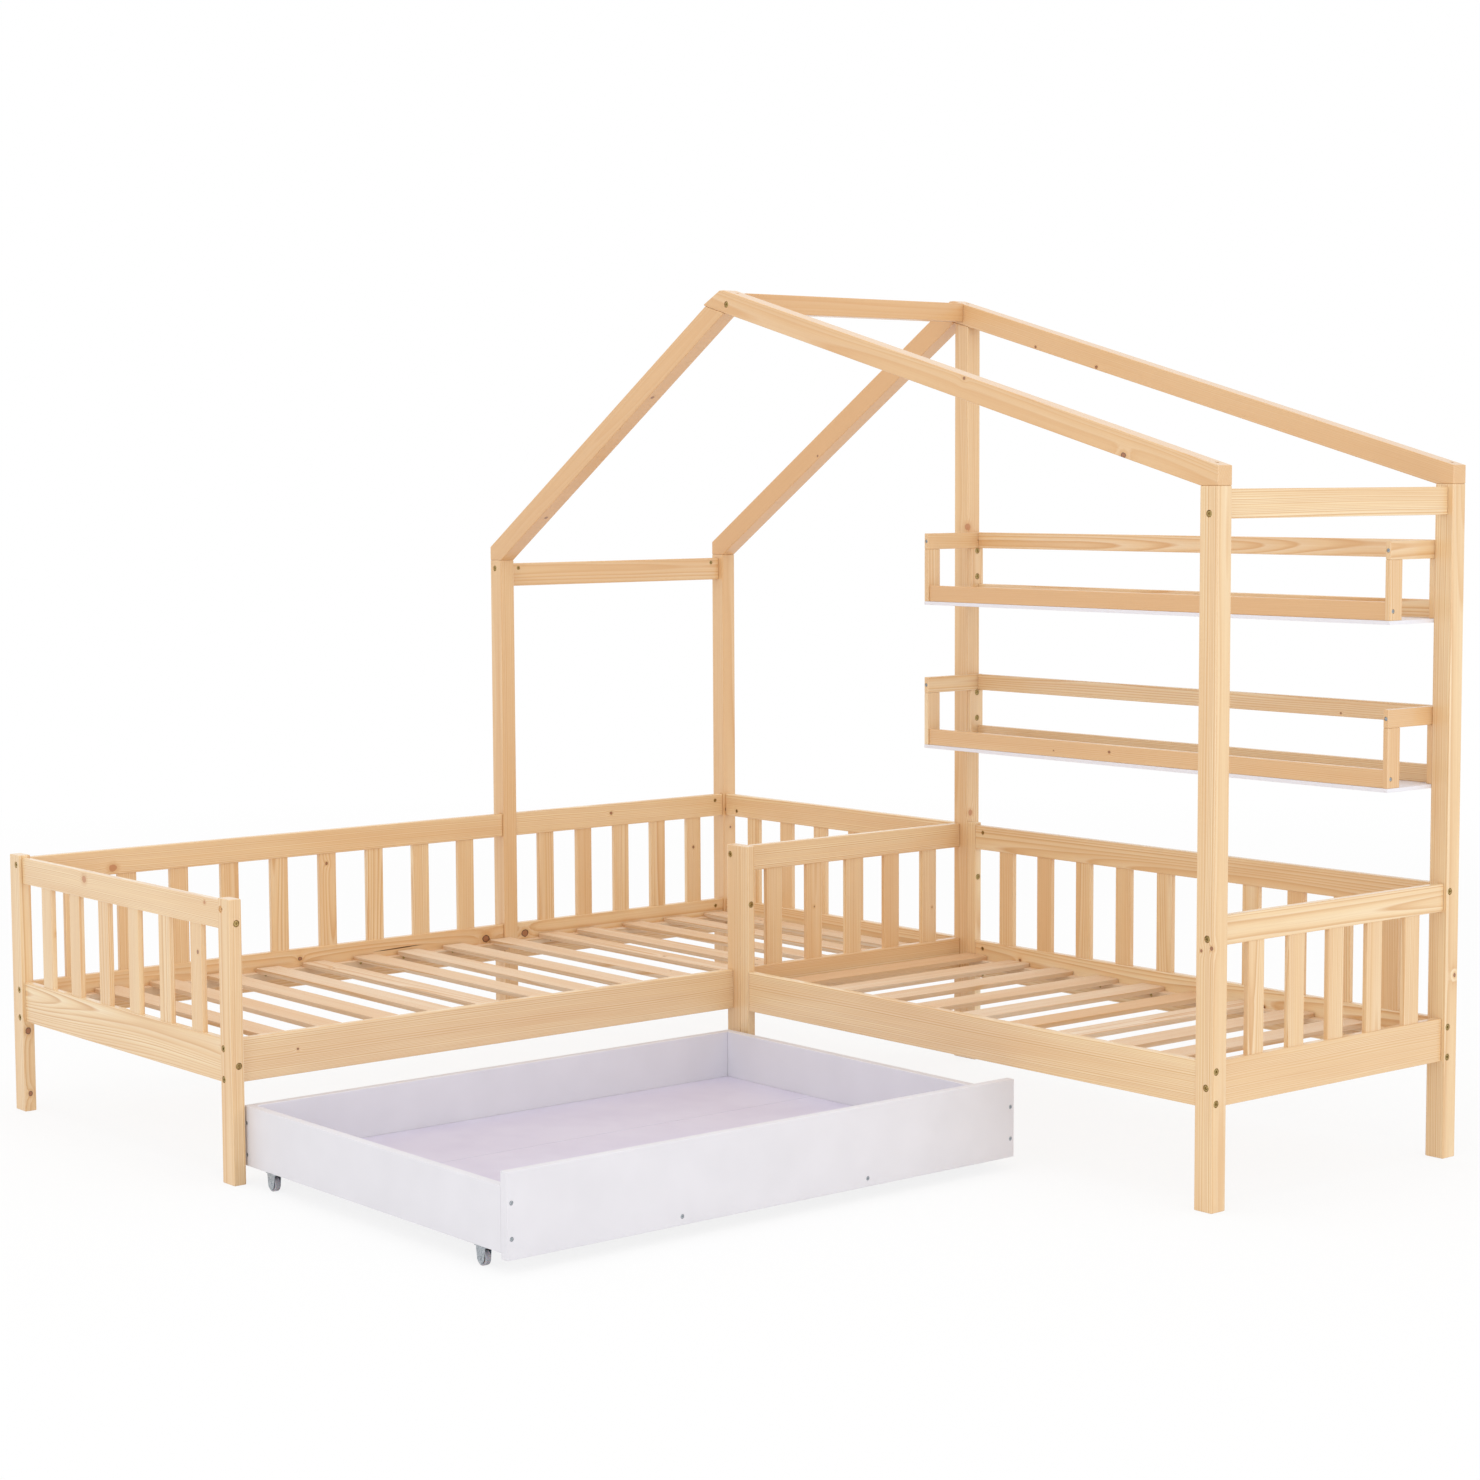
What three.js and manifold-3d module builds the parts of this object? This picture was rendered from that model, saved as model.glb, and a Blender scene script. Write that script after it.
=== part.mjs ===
// House bed: a long bed and a side bed set in an L, an open lopsided house roof over the corner
// and the side bed, two long shelves behind the side bed and a drawer on castors.
//
// X runs along the back wall, Y along the long bed and Z is up. All sizes are in millimetres.
// Places are written from the corner where both walls meet, so Y is negative in front of the
// back wall. At the end the whole bed is moved until the middle of its footprint is the origin.

import * as THREE from 'three';
import { mergeVertices } from 'three/addons/utils/BufferGeometryUtils.js';
import Module from 'manifold-3d';

const wasm = await Module();
wasm.setup();

// Driving sizes of the whole bed
const overallWidth = 2411;
const longBedLength = 2080;
const longBedWidth = 983;
const sideBedDepth = 757;

// Posts, section along X and Y
const shortPost = { x: 46, y: 28, height: 583 };
const housePost = { x: 45, y: 40 };
const batten = { x: 28, y: 21, height: 583 };

// Roof
const leftEaveHeight = 1217;
const rightEaveHeight = 1401;
const ridgeTrim = 2.7;
const ridgeNose = { reach: 5, height: 3 };
const leftPitchDegrees = 32.8;
const rightPitchDegrees = 15.25;
const rafterDepth = { left: 51.8, right: 48.7 };
const ridgeBeam = { width: 45, height: 43.5, drop: 7, shift: 18 };
const eaveBeam = { thickness: 18, height: 57, leftDrop: 9, rightDrop: 6 };

// Guard rails and the pickets glued between them
const railThickness = 18;
const topRail = { top: 577, height: 58 };
const lowRail = { bottom: 205, height: 90 };
const picket = { width: 47, thickness: 12, tenon: 10 };

// How far each line of rails stands back from the outer faces of its posts
const setback = { foot: 7, wall: 22, head: 16, front: 25, end: 8, sideFront: 2, sideBack: 1 };
const eaveSetback = { left: 10, right: 13 };

// Slats and the ledger strips that they are let into and screwed to
const slat = { thickness: 11, belowRailTop: 33, endGap: 1, seat: 1 };
const longBedSlats = { count: 15, width: 62, endMargin: 16 };
const sideBedSlats = { count: 10, width: 69, endMargin: 28 };
const ledger = { width: 20, height: 20 };

// Shelves
const shelfTops = { upper: 1286, lower: 943 };
const shelf = { depth: 182, height: 162, board: 13, rail: 38, stile: 39, panel: 8, railSetback: 4 };
const shelfBolts = { high: 44, low: 106 };

// Drawer, drawn pulled out until only its back is still between the posts
const drawerStay = 15;
const drawerFront = { height: 162, thickness: 20, floorGap: 26 };
const drawerSide = { length: 906, height: 123, thickness: 20 };
const drawerBackThickness = 20;
const drawerBottom = { thickness: 8, groove: 5, boards: 3 };
const drawerBatten = { width: 30, height: 12, seat: 1, fromLeft: 399, fromRight: 403 };
const drawerClearance = { footPost: 5, innerPost: 22 };

// Castors under the drawer
const castor = { height: 37, length: 37, width: 18, sheet: 1.5, shoulder: 14, foot: 11 };
const castorPlaces = { fromBack: 100, fromFront: 68 };
const wheel = { radius: 15, width: 12, rim: 3, hub: 5, recess: 1.5, round: 1.5, sideGap: 0.8 };
const axle = { radius: 2, headRadius: 3.4, headThickness: 1 };

// Bores for the bolts and screws: a counterbore for the sunk head and a hole for the shank
const bolt = { head: 7, headHeight: 2.5, shank: 3, sink: 0.6, grip: 45, sides: 8 };
const screw = { head: 4.2, headHeight: 1.6, shank: 1.9, sink: 0.5, grip: 32, sides: 6 };

// Bolt heights, measured from the edges of the rails that they hold
const topBoltDrop = { lengthwise: 16, crosswise: 43 };
const lowBoltRise = { pairLow: 9, pairHigh: 72, single: 39 };
const battenBoltHeight = 450;
const leftEaveBoltRise = 45;
const rightEaveBoltRise = 10;
const ridgeBoltRise = 18;

// Screw places and lengths
const roofScrew = { inset: 21, length: 54 };
const ridgeScrewLength = 90;
const drawerScrew = { high: 94, low: 28, backInset: 11, backHigh: 88, backLow: 23 };

// Clearances and mesh fineness
const fitGap = 0.3;
const runningGap = 0.4;
const cutOverrun = 8;
const weldDistance = 0.0001;
const wheelSides = 20;
const axleSides = 10;

// Finishes
const finishes = {
  post: new THREE.MeshStandardMaterial({ color: '#ebc898', roughness: 0.55, metalness: 0 }),
  rail: new THREE.MeshStandardMaterial({ color: '#e8c594', roughness: 0.55, metalness: 0 }),
  slat: new THREE.MeshStandardMaterial({ color: '#ead1ae', roughness: 0.7, metalness: 0 }),
  white: new THREE.MeshStandardMaterial({ color: '#e6e4e8', roughness: 0.45, metalness: 0 }),
  zinc: new THREE.MeshStandardMaterial({ color: '#9aa3ad', roughness: 0.35, metalness: 1 }),
  wheel: new THREE.MeshStandardMaterial({ color: '#b5b4ba', roughness: 0.4, metalness: 0 }),
};

// Places that follow from the sizes, along X
const wallPostX = [0, housePost.x];
const footRightX = [longBedWidth - shortPost.x, longBedWidth];
const middlePostX = [longBedWidth - housePost.x, longBedWidth];
const battenX = [longBedWidth, longBedWidth + batten.x];
const endPostX = [overallWidth - housePost.x, overallWidth];
const wallRailX = [setback.wall, setback.wall + railThickness];
const frontRailX = [longBedWidth - setback.front - railThickness, longBedWidth - setback.front];
const endRailX = [overallWidth - setback.end - railThickness, overallWidth - setback.end];
const leftEaveX = [eaveSetback.left, eaveSetback.left + eaveBeam.thickness];
const rightEaveX = [
  overallWidth - eaveSetback.right - eaveBeam.thickness,
  overallWidth - eaveSetback.right,
];

// Places that follow from the sizes, along Y
const footPostY = [-longBedLength, -longBedLength + shortPost.y];
const gableFrontY = [-sideBedDepth, -sideBedDepth + housePost.y];
const gableBackY = [-housePost.y, 0];
const innerPostY = [-sideBedDepth, -sideBedDepth + shortPost.y];
const battenFrontY = [-sideBedDepth, -sideBedDepth + batten.y];
const battenBackY = [-housePost.y, -housePost.y + batten.y];
const footRailY = [-longBedLength + setback.foot, -longBedLength + setback.foot + railThickness];
const headRailY = [-setback.head - railThickness, -setback.head];
const sideFrontRailY = [
  -sideBedDepth + setback.sideFront,
  -sideBedDepth + setback.sideFront + railThickness,
];
const sideBackRailY = [-housePost.y + setback.sideBack, -housePost.y + setback.sideBack + railThickness];

// Places that follow from the sizes, along Z
const topRailZ = [topRail.top - topRail.height, topRail.top];
const lowRailZ = [lowRail.bottom, lowRail.bottom + lowRail.height];
const slatZ = [lowRailZ[1] - slat.belowRailTop - slat.thickness, lowRailZ[1] - slat.belowRailTop];
const ledgerZ = [slatZ[0] + slat.seat - ledger.height, slatZ[0] + slat.seat];

const middle = (span) => (span[0] + span[1]) / 2;

// Solids, cuts and meshes

// A rectangular block between two places on each axis.
function block(spanX, spanY, spanZ) {
  const geometry = new THREE.BoxGeometry(spanX[1] - spanX[0], spanY[1] - spanY[0], spanZ[1] - spanZ[0]);
  return geometry.translate(middle(spanX), middle(spanY), middle(spanZ));
}

// A board seen from the front: an outline in X and Z, as thick as its span along Y.
function plateInXZ(points, spanY) {
  const shape = new THREE.Shape(points.map(([x, z]) => new THREE.Vector2(x, z)));
  const geometry = new THREE.ExtrudeGeometry(shape, { depth: spanY[1] - spanY[0], bevelEnabled: false });
  return geometry.rotateX(Math.PI / 2).translate(0, spanY[1], 0);
}

// Turns a closed geometry into a solid that can be cut.
function solidOf(geometry) {
  const bare = geometry.clone();
  bare.deleteAttribute('normal');
  bare.deleteAttribute('uv');
  const welded = mergeVertices(bare, weldDistance);
  const corners = welded.index.array;
  const triVerts = [];
  for (let i = 0; i < corners.length; i += 3) {
    const [a, b, c] = corners.slice(i, i + 3);
    if (a !== b && b !== c && c !== a) triVerts.push(a, b, c);
  }
  return new wasm.Manifold(new wasm.Mesh({
    numProp: 3,
    vertProperties: new Float32Array(welded.attributes.position.array),
    triVerts: new Uint32Array(triVerts),
  }));
}

// Turns a cut solid back into a geometry with flat faces.
function geometryOf(solid) {
  const result = solid.getMesh();
  const geometry = new THREE.BufferGeometry();
  geometry.setAttribute('position', new THREE.BufferAttribute(new Float32Array(result.vertProperties), 3));
  geometry.setIndex(new THREE.BufferAttribute(new Uint32Array(result.triVerts), 1));
  const flat = geometry.toNonIndexed();
  flat.computeVertexNormals();
  return flat;
}

// Joins overlapping geometries into one solid.
function fuse(geometries) {
  return geometryOf(geometries.map(solidOf).reduce((body, next) => body.add(next)));
}

// Takes cutters away from a geometry.
function cut(geometry, cutters) {
  if (cutters.length === 0) return geometry;
  let body = solidOf(geometry);
  for (const cutter of cutters) body = body.subtract(solidOf(cutter));
  return geometryOf(body);
}

// Aims a geometry that was made along +Y in the given direction, from the given place.
function aim(geometry, place, direction) {
  const turn = new THREE.Quaternion().setFromUnitVectors(new THREE.Vector3(0, 1, 0), direction);
  return geometry.applyQuaternion(turn).translate(place.x, place.y, place.z);
}

// A turned body round the Y axis: a profile of [radius, height] pairs, closed or on the axis.
function turned(profile, sides) {
  return new THREE.LatheGeometry(profile.map(([r, h]) => new THREE.Vector2(r, h)), sides);
}

// Bores for bolts and screws

const directions = {
  plusX: new THREE.Vector3(1, 0, 0),
  minusX: new THREE.Vector3(-1, 0, 0),
  plusY: new THREE.Vector3(0, 1, 0),
  minusY: new THREE.Vector3(0, -1, 0),
  down: new THREE.Vector3(0, 0, -1),
};

const bores = [];

// Records a bore from a place on the face of the first of the held pieces. The clamped length
// is what it takes of that piece, and the grip is the length in the second one.
function drill(kind, place, toward, clamped, holds, grip = kind.grip) {
  bores.push({ kind, place, toward, length: clamped + grip, holds });
}

// The counterbore for the head and the hole for the shank, wider than both by the fit.
function boreBody({ kind, place, toward, length }) {
  const floor = kind.sink + kind.headHeight + fitGap;
  const profile = [
    [0, -cutOverrun],
    [kind.head + fitGap, -cutOverrun],
    [kind.head + fitGap, floor],
    [kind.shank + fitGap, floor],
    [kind.shank + fitGap, length + fitGap],
    [0, length + fitGap],
  ];
  const [x, y, z] = place;
  return aim(turned(profile, kind.sides), new THREE.Vector3(x, y, z), directions[toward]);
}

function boresIn(name) {
  return bores.filter((item) => item.holds.includes(name)).map(boreBody);
}

// The part itself

const bed = new THREE.Group();

function add(name, geometry, finish) {
  const piece = new THREE.Mesh(geometry, finish.clone());
  piece.name = name;
  bed.add(piece);
}

// A piece with the bores that are recorded for it.
function addDrilled(name, geometry, finish, extraCuts = []) {
  add(name, cut(geometry, [...boresIn(name), ...extraCuts]), finish);
}

// Guards: where each line of rails runs, and which posts it is bolted to

const betweenGables = [gableFrontY[1], gableBackY[0]];

const guards = [
  { name: 'foot_guard', axis: 'x', span: [shortPost.x, footRightX[0]], line: footRailY, pickets: 6 },
  { name: 'wall_guard_long', axis: 'y', span: [footPostY[1], gableFrontY[0]], line: wallRailX, pickets: 9 },
  { name: 'wall_guard_short', axis: 'y', span: betweenGables, line: wallRailX, pickets: 5 },
  { name: 'head_guard', axis: 'x', span: [wallPostX[1], middlePostX[0]], line: headRailY, pickets: 6 },
  { name: 'divider_guard', axis: 'y', span: [innerPostY[1], gableBackY[0]], line: frontRailX, pickets: 5 },
  { name: 'back_guard', axis: 'x', span: [battenX[1], endPostX[0]], line: sideBackRailY, pickets: 10 },
  { name: 'end_guard', axis: 'y', span: betweenGables, line: endRailX, pickets: 5 },
];

const frontRails = [
  { name: 'long_bed_front_rail', axis: 'y', span: [footPostY[1], innerPostY[0]], line: frontRailX },
  { name: 'side_bed_front_rail', axis: 'x', span: [battenX[1], endPostX[0]], line: sideFrontRailY },
];

// A block that runs along one plan axis: span is along it and line is across it.
function boardAlong(axis, span, line, spanZ) {
  return axis === 'x' ? block(span, line, spanZ) : block(line, span, spanZ);
}

// The pickets of a guard are evenly spaced between its posts.
function picketSpans(guard) {
  const length = guard.span[1] - guard.span[0];
  const gap = (length - guard.pickets * picket.width) / (guard.pickets + 1);
  return Array.from({ length: guard.pickets }, (_, index) => {
    const start = guard.span[0] + gap + index * (gap + picket.width);
    return [start, start + picket.width];
  });
}

// A guard is one glued ladder: top rail, low rail, and pickets with tenons in both.
function addGuard(guard) {
  const across = [middle(guard.line) - picket.thickness / 2, middle(guard.line) + picket.thickness / 2];
  const tenonZ = [lowRailZ[1] - picket.tenon, topRailZ[0] + picket.tenon];
  const rails = [topRailZ, lowRailZ].map((spanZ) => boardAlong(guard.axis, guard.span, guard.line, spanZ));
  const pickets = picketSpans(guard).map((span) => boardAlong(guard.axis, span, across, tenonZ));
  addDrilled(guard.name, fuse([...rails, ...pickets]), finishes.rail);
}

// Bolts from a post's outer face into the end of a rail. Rails of the long run of a bed have
// two bolts in the low rail, and the short ones have one between them, so that none meet.
function boltHeights(level, run) {
  if (level === 'top') return [topRail.top - topBoltDrop[run]];
  const rises = run === 'lengthwise' ? [lowBoltRise.pairLow, lowBoltRise.pairHigh] : [lowBoltRise.single];
  return rises.map((rise) => lowRail.bottom + rise);
}

function boltRailEnd({ post, face, toward, clamped, line, rail, level, run }) {
  for (const height of boltHeights(level, run)) {
    const alongX = toward === 'plusX' || toward === 'minusX';
    const place = alongX ? [face, middle(line), height] : [middle(line), face, height];
    drill(bolt, place, toward, clamped, [post, rail]);
  }
}

// Both rails of a guard, bolted through one post.
function boltGuardEnd(guardName, common) {
  boltRailEnd({ ...common, rail: guardName, level: 'top' });
  boltRailEnd({ ...common, rail: guardName, level: 'low' });
}

function planFrameBolts() {
  boltGuardEnd('foot_guard', {
    post: 'foot_post_left', face: 0, toward: 'plusX', clamped: shortPost.x, line: footRailY,
    run: 'crosswise',
  });
  boltGuardEnd('foot_guard', {
    post: 'foot_post_right', face: longBedWidth, toward: 'minusX', clamped: shortPost.x,
    line: footRailY, run: 'crosswise',
  });
  boltGuardEnd('wall_guard_long', {
    post: 'foot_post_left', face: footPostY[0], toward: 'plusY', clamped: shortPost.y, line: wallRailX,
    run: 'lengthwise',
  });
  boltGuardEnd('wall_guard_short', {
    post: 'wall_post_back', face: 0, toward: 'minusY', clamped: housePost.y, line: wallRailX,
    run: 'lengthwise',
  });
  boltGuardEnd('head_guard', {
    post: 'wall_post_back', face: 0, toward: 'plusX', clamped: housePost.x, line: headRailY,
    run: 'crosswise',
  });
  boltGuardEnd('head_guard', {
    post: 'middle_post', face: longBedWidth, toward: 'minusX', clamped: housePost.x, line: headRailY,
    run: 'crosswise',
  });
  boltGuardEnd('divider_guard', {
    post: 'middle_post', face: 0, toward: 'minusY', clamped: housePost.y, line: frontRailX,
    run: 'lengthwise',
  });
  boltGuardEnd('back_guard', {
    post: 'side_bed_batten_back', face: battenX[0], toward: 'plusX', clamped: batten.x,
    line: sideBackRailY, run: 'lengthwise',
  });
  boltGuardEnd('back_guard', {
    post: 'end_post_back', face: overallWidth, toward: 'minusX', clamped: housePost.x, line: sideBackRailY,
    run: 'lengthwise',
  });
  boltGuardEnd('end_guard', {
    post: 'end_post_front', face: gableFrontY[0], toward: 'plusY', clamped: housePost.y, line: endRailX,
    run: 'crosswise',
  });
  boltGuardEnd('end_guard', {
    post: 'end_post_back', face: 0, toward: 'minusY', clamped: housePost.y, line: endRailX,
    run: 'crosswise',
  });
  boltRailEnd({
    post: 'foot_post_right', face: footPostY[0], toward: 'plusY', clamped: shortPost.y, line: frontRailX,
    rail: 'long_bed_front_rail', level: 'low', run: 'lengthwise',
  });
  boltRailEnd({
    post: 'inner_post', face: innerPostY[0], toward: 'plusY', clamped: shortPost.y, line: frontRailX,
    rail: 'divider_guard', level: 'top', run: 'lengthwise',
  });
  boltRailEnd({
    post: 'side_bed_batten_front', face: battenX[0], toward: 'plusX', clamped: batten.x,
    line: sideFrontRailY, rail: 'side_bed_front_rail', level: 'low', run: 'lengthwise',
  });
  boltRailEnd({
    post: 'end_post_front', face: overallWidth, toward: 'minusX', clamped: housePost.x,
    line: sideFrontRailY, rail: 'side_bed_front_rail', level: 'low', run: 'lengthwise',
  });
  drill(bolt, [battenX[1], middle(battenFrontY), battenBoltHeight], 'minusX', batten.x,
    ['side_bed_batten_front', 'inner_post'], shortPost.x / 2);
  drill(bolt, [battenX[1], middle(battenBackY), battenBoltHeight], 'minusX', batten.x,
    ['side_bed_batten_back', 'middle_post'], housePost.x / 2);
}

// The right foot post is drilled like the left one, and one of its holes stays empty.
function spareBore() {
  const place = [middle(frontRailX), footPostY[0], topRail.top - topBoltDrop.lengthwise];
  return boreBody({ kind: bolt, place, toward: 'plusY', length: shortPost.y });
}

// Roof outline: the underside lines start at the inner edges of the eave posts

const radians = (degrees) => (degrees * Math.PI) / 180;
const leftSlope = Math.tan(radians(leftPitchDegrees));
const rightSlope = Math.tan(radians(rightPitchDegrees));
const leftPlumb = rafterDepth.left / Math.cos(radians(leftPitchDegrees));
const rightPlumb = rafterDepth.right / Math.cos(radians(rightPitchDegrees));

const underLeft = (x) => leftEaveHeight + (x - wallPostX[1]) * leftSlope;
const overLeft = (x) => underLeft(x) + leftPlumb;
const underRight = (x) => rightEaveHeight + (endPostX[0] - x) * rightSlope;
const overRight = (x) => underRight(x) + rightPlumb;
// Where the left underside, raised by rise, meets the right underside.
const crossingOf = (rise) => (
  (rightEaveHeight - leftEaveHeight + endPostX[0] * rightSlope + wallPostX[1] * leftSlope - rise)
  / (leftSlope + rightSlope)
);
const noseX = crossingOf(leftPlumb) - ridgeNose.reach;

// The sharp peak of both upper faces is planed off level.
const ridgeHeight = overLeft(crossingOf(leftPlumb - rightPlumb)) - ridgeTrim;
const ridgeStartX = wallPostX[1] + (ridgeHeight - leftEaveHeight - leftPlumb) / leftSlope;
const ridgeEndX = endPostX[0] - (ridgeHeight - rightEaveHeight - rightPlumb) / rightSlope;

// The right rafter runs over the ridge to a blunt nose that stands a little past the left slope.
function rightRafter(spanY) {
  return plateInXZ([
    [endPostX[1], rightEaveHeight],
    [endPostX[1], overRight(endPostX[1])],
    [ridgeEndX, ridgeHeight],
    [ridgeStartX, ridgeHeight],
    [noseX, underRight(noseX) + ridgeNose.height],
    [noseX, underRight(noseX)],
    [endPostX[0], rightEaveHeight],
  ], spanY);
}

// The left rafter butts against the underside of the right one, and sits level on its post.
function leftRafter(spanY) {
  const innerX = crossingOf(fitGap);
  const outerX = crossingOf(leftPlumb + fitGap);
  return plateInXZ([
    [0, leftEaveHeight],
    [wallPostX[1], leftEaveHeight],
    [innerX, underLeft(innerX)],
    [outerX, overLeft(outerX)],
    [0, overLeft(0)],
  ], spanY);
}

const ridgeBeamMiddle = (ridgeStartX + ridgeEndX) / 2 + ridgeBeam.shift;
const ridgeBeamX = [ridgeBeamMiddle - ridgeBeam.width / 2, ridgeBeamMiddle + ridgeBeam.width / 2];
const ridgeBeamZ = [ridgeHeight - ridgeBeam.drop - ridgeBeam.height, ridgeHeight - ridgeBeam.drop];
const leftEaveZ = [
  leftEaveHeight - eaveBeam.leftDrop - eaveBeam.height,
  leftEaveHeight - eaveBeam.leftDrop,
];
const rightEaveZ = [
  rightEaveHeight - eaveBeam.rightDrop - eaveBeam.height,
  rightEaveHeight - eaveBeam.rightDrop,
];

function planRoofBores() {
  const gables = [
    { face: gableFrontY[0], toward: 'plusY', name: 'front' },
    { face: 0, toward: 'minusY', name: 'back' },
  ];
  for (const { face, toward, name } of gables) {
    const wallPost = `wall_post_${name}`;
    const endPost = `end_post_${name}`;
    const depth = name === 'front' ? gableFrontY : gableBackY;
    const ridgeHolds = [`${name}_right_rafter`, 'ridge_beam'];
    const leftPlace = [middle(leftEaveX), face, leftEaveZ[0] + leftEaveBoltRise];
    const rightPlace = [middle(rightEaveX), face, rightEaveZ[0] + rightEaveBoltRise];
    const ridgePlace = [ridgeBeamMiddle, face, ridgeBeamZ[0] + ridgeBoltRise];
    drill(bolt, ridgePlace, toward, housePost.y, ridgeHolds);
    drill(bolt, leftPlace, toward, housePost.y, [wallPost, 'left_eave_beam']);
    drill(bolt, rightPlace, toward, housePost.y, [endPost, 'right_eave_beam']);
    const leftX = roofScrew.inset;
    const rightX = overallWidth - roofScrew.inset;
    drillRoofScrew([leftX, middle(depth)], overLeft, roofScrew.length, [`${name}_left_rafter`, wallPost]);
    drillRoofScrew([rightX, middle(depth)], overRight, roofScrew.length, [`${name}_right_rafter`, endPost]);
  }
  const postPlace = [middle(middlePostX), middle(gableBackY)];
  drillRoofScrew(postPlace, overRight, ridgeScrewLength, ['back_right_rafter', 'middle_post']);
}

// An upright screw through a rafter, let in where the sloping top is lowest round its head.
function drillRoofScrew([x, y], top, length, holds) {
  const lowest = Math.min(top(x - screw.head), top(x + screw.head));
  drill(screw, [x, y, lowest], 'down', 0, holds, length);
}

// Posts

function addPosts() {
  const shortZ = [0, shortPost.height];
  addDrilled('foot_post_left', block([0, shortPost.x], footPostY, shortZ), finishes.post);
  addDrilled('foot_post_right', block(footRightX, footPostY, shortZ), finishes.post, [spareBore()]);
  addDrilled('inner_post', block(footRightX, innerPostY, shortZ), finishes.post);
  addDrilled('wall_post_front', block(wallPostX, gableFrontY, [0, leftEaveHeight]), finishes.post);
  addDrilled('wall_post_back', block(wallPostX, gableBackY, [0, leftEaveHeight]), finishes.post);
  addDrilled('end_post_front', block(endPostX, gableFrontY, [0, rightEaveHeight]), finishes.post);
  addDrilled('end_post_back', block(endPostX, gableBackY, [0, rightEaveHeight]), finishes.post);
  addDrilled('middle_post', middlePost(), finishes.post);
  const battenZ = [0, batten.height];
  addDrilled('side_bed_batten_front', block(battenX, battenFrontY, battenZ), finishes.post);
  addDrilled('side_bed_batten_back', block(battenX, battenBackY, battenZ), finishes.post);
}

// The middle post ends under the back gable, cut to the underside of the rafters.
function middlePost() {
  const [left, right] = middlePostX;
  const seatX = crossingOf(0);
  const under = (x) => Math.min(underLeft(x), underRight(x)) - fitGap;
  const seat = left < seatX && seatX < right ? [[seatX, under(seatX)]] : [];
  const outline = [[left, 0], [right, 0], [right, under(right)], ...seat, [left, under(left)]];
  return plateInXZ(outline, gableBackY);
}

// Rails of the long bed's and the side bed's open fronts

function addFrontRails() {
  for (const rail of frontRails) {
    addDrilled(rail.name, boardAlong(rail.axis, rail.span, rail.line, lowRailZ), finishes.rail);
  }
}

// Slat bases: slats at an even pitch, let into the ledger strips on the rails. The long bed's
// base is in two lengths, because posts stand between its ledgers.

function slatRow({ count, width, endMargin }, room) {
  const pitch = (room[1] - room[0] - width - endMargin * 2) / (count - 1);
  return Array.from({ length: count }, (_, index) => {
    const start = room[0] + endMargin + index * pitch;
    return [start, start + width];
  });
}

function addLongBedSlats() {
  const wallX = [wallRailX[1], wallRailX[1] + ledger.width];
  const frontX = [frontRailX[0] - ledger.width, frontRailX[0]];
  const slatX = [wallPostX[1] + slat.endGap, footRightX[0] - slat.endGap];
  const row = slatRow(longBedSlats, [footRailY[1], headRailY[0]]);
  const lengths = [
    { name: 'front', wall: [footPostY[1], gableFrontY[0]], open: [footPostY[1], innerPostY[0]] },
    { name: 'back', wall: betweenGables, open: [innerPostY[1], gableBackY[0]] },
  ];
  for (const { name, wall, open } of lengths) {
    const carried = row.filter((span) => open[0] < middle(span) && middle(span) < open[1]);
    const slats = carried.map((span) => block(slatX, span, slatZ));
    const ledgers = [block(wallX, wall, ledgerZ), block(frontX, open, ledgerZ)];
    add(`long_bed_slats_${name}`, fuse([...ledgers, ...slats]), finishes.slat);
  }
}

function addSideBedSlats() {
  const ledgerX = [battenX[1], endPostX[0]];
  const frontY = [sideFrontRailY[1], sideFrontRailY[1] + ledger.width];
  const backY = [sideBackRailY[0] - ledger.width, sideBackRailY[0]];
  const slatY = [sideFrontRailY[1] + slat.endGap, sideBackRailY[0] - slat.endGap];
  const row = slatRow(sideBedSlats, [frontRailX[1], endRailX[0]]);
  const slats = row.map((span) => block(span, slatY, slatZ));
  const ledgers = [frontY, backY].map((spanY) => block(ledgerX, spanY, ledgerZ));
  add('side_bed_slats', fuse([...ledgers, ...slats]), finishes.slat);
}

// Roof timbers

function addRoof() {
  addDrilled('front_right_rafter', rightRafter(gableFrontY), finishes.rail, [frontRidgeBore()]);
  addDrilled('front_left_rafter', leftRafter(gableFrontY), finishes.rail);
  addDrilled('back_right_rafter', rightRafter(gableBackY), finishes.rail);
  addDrilled('back_left_rafter', leftRafter(gableBackY), finishes.rail);
  addDrilled('ridge_beam', block(ridgeBeamX, betweenGables, ridgeBeamZ), finishes.rail);
  addDrilled('left_eave_beam', block(leftEaveX, betweenGables, leftEaveZ), finishes.rail);
  addDrilled('right_eave_beam', block(rightEaveX, betweenGables, rightEaveZ), finishes.rail);
}

// Both right rafters are drilled alike, but only the back one has a post to screw down to.
function frontRidgeBore() {
  const x = middle(middlePostX);
  const place = [x, middle(gableFrontY), overRight(x + screw.head)];
  return boreBody({ kind: screw, place, toward: 'down', length: rightPlumb / 2 });
}

// Shelves: two open trays hung between the middle post and the end post

const shelfX = [middlePostX[1], endPostX[0]];
const shelfInnerX = [shelfX[0] + shelf.board, shelfX[1] - shelf.board];
const shelfFrontStileY = [-shelf.depth, -shelf.depth + shelf.stile];
const shelfBackStileY = [-shelf.stile, 0];
const shelfFrontRailY = [-shelf.depth + shelf.railSetback, -shelf.depth + shelf.railSetback + shelf.board];
const shelfBackRailY = [-shelf.railSetback - shelf.board, -shelf.railSetback];

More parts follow.
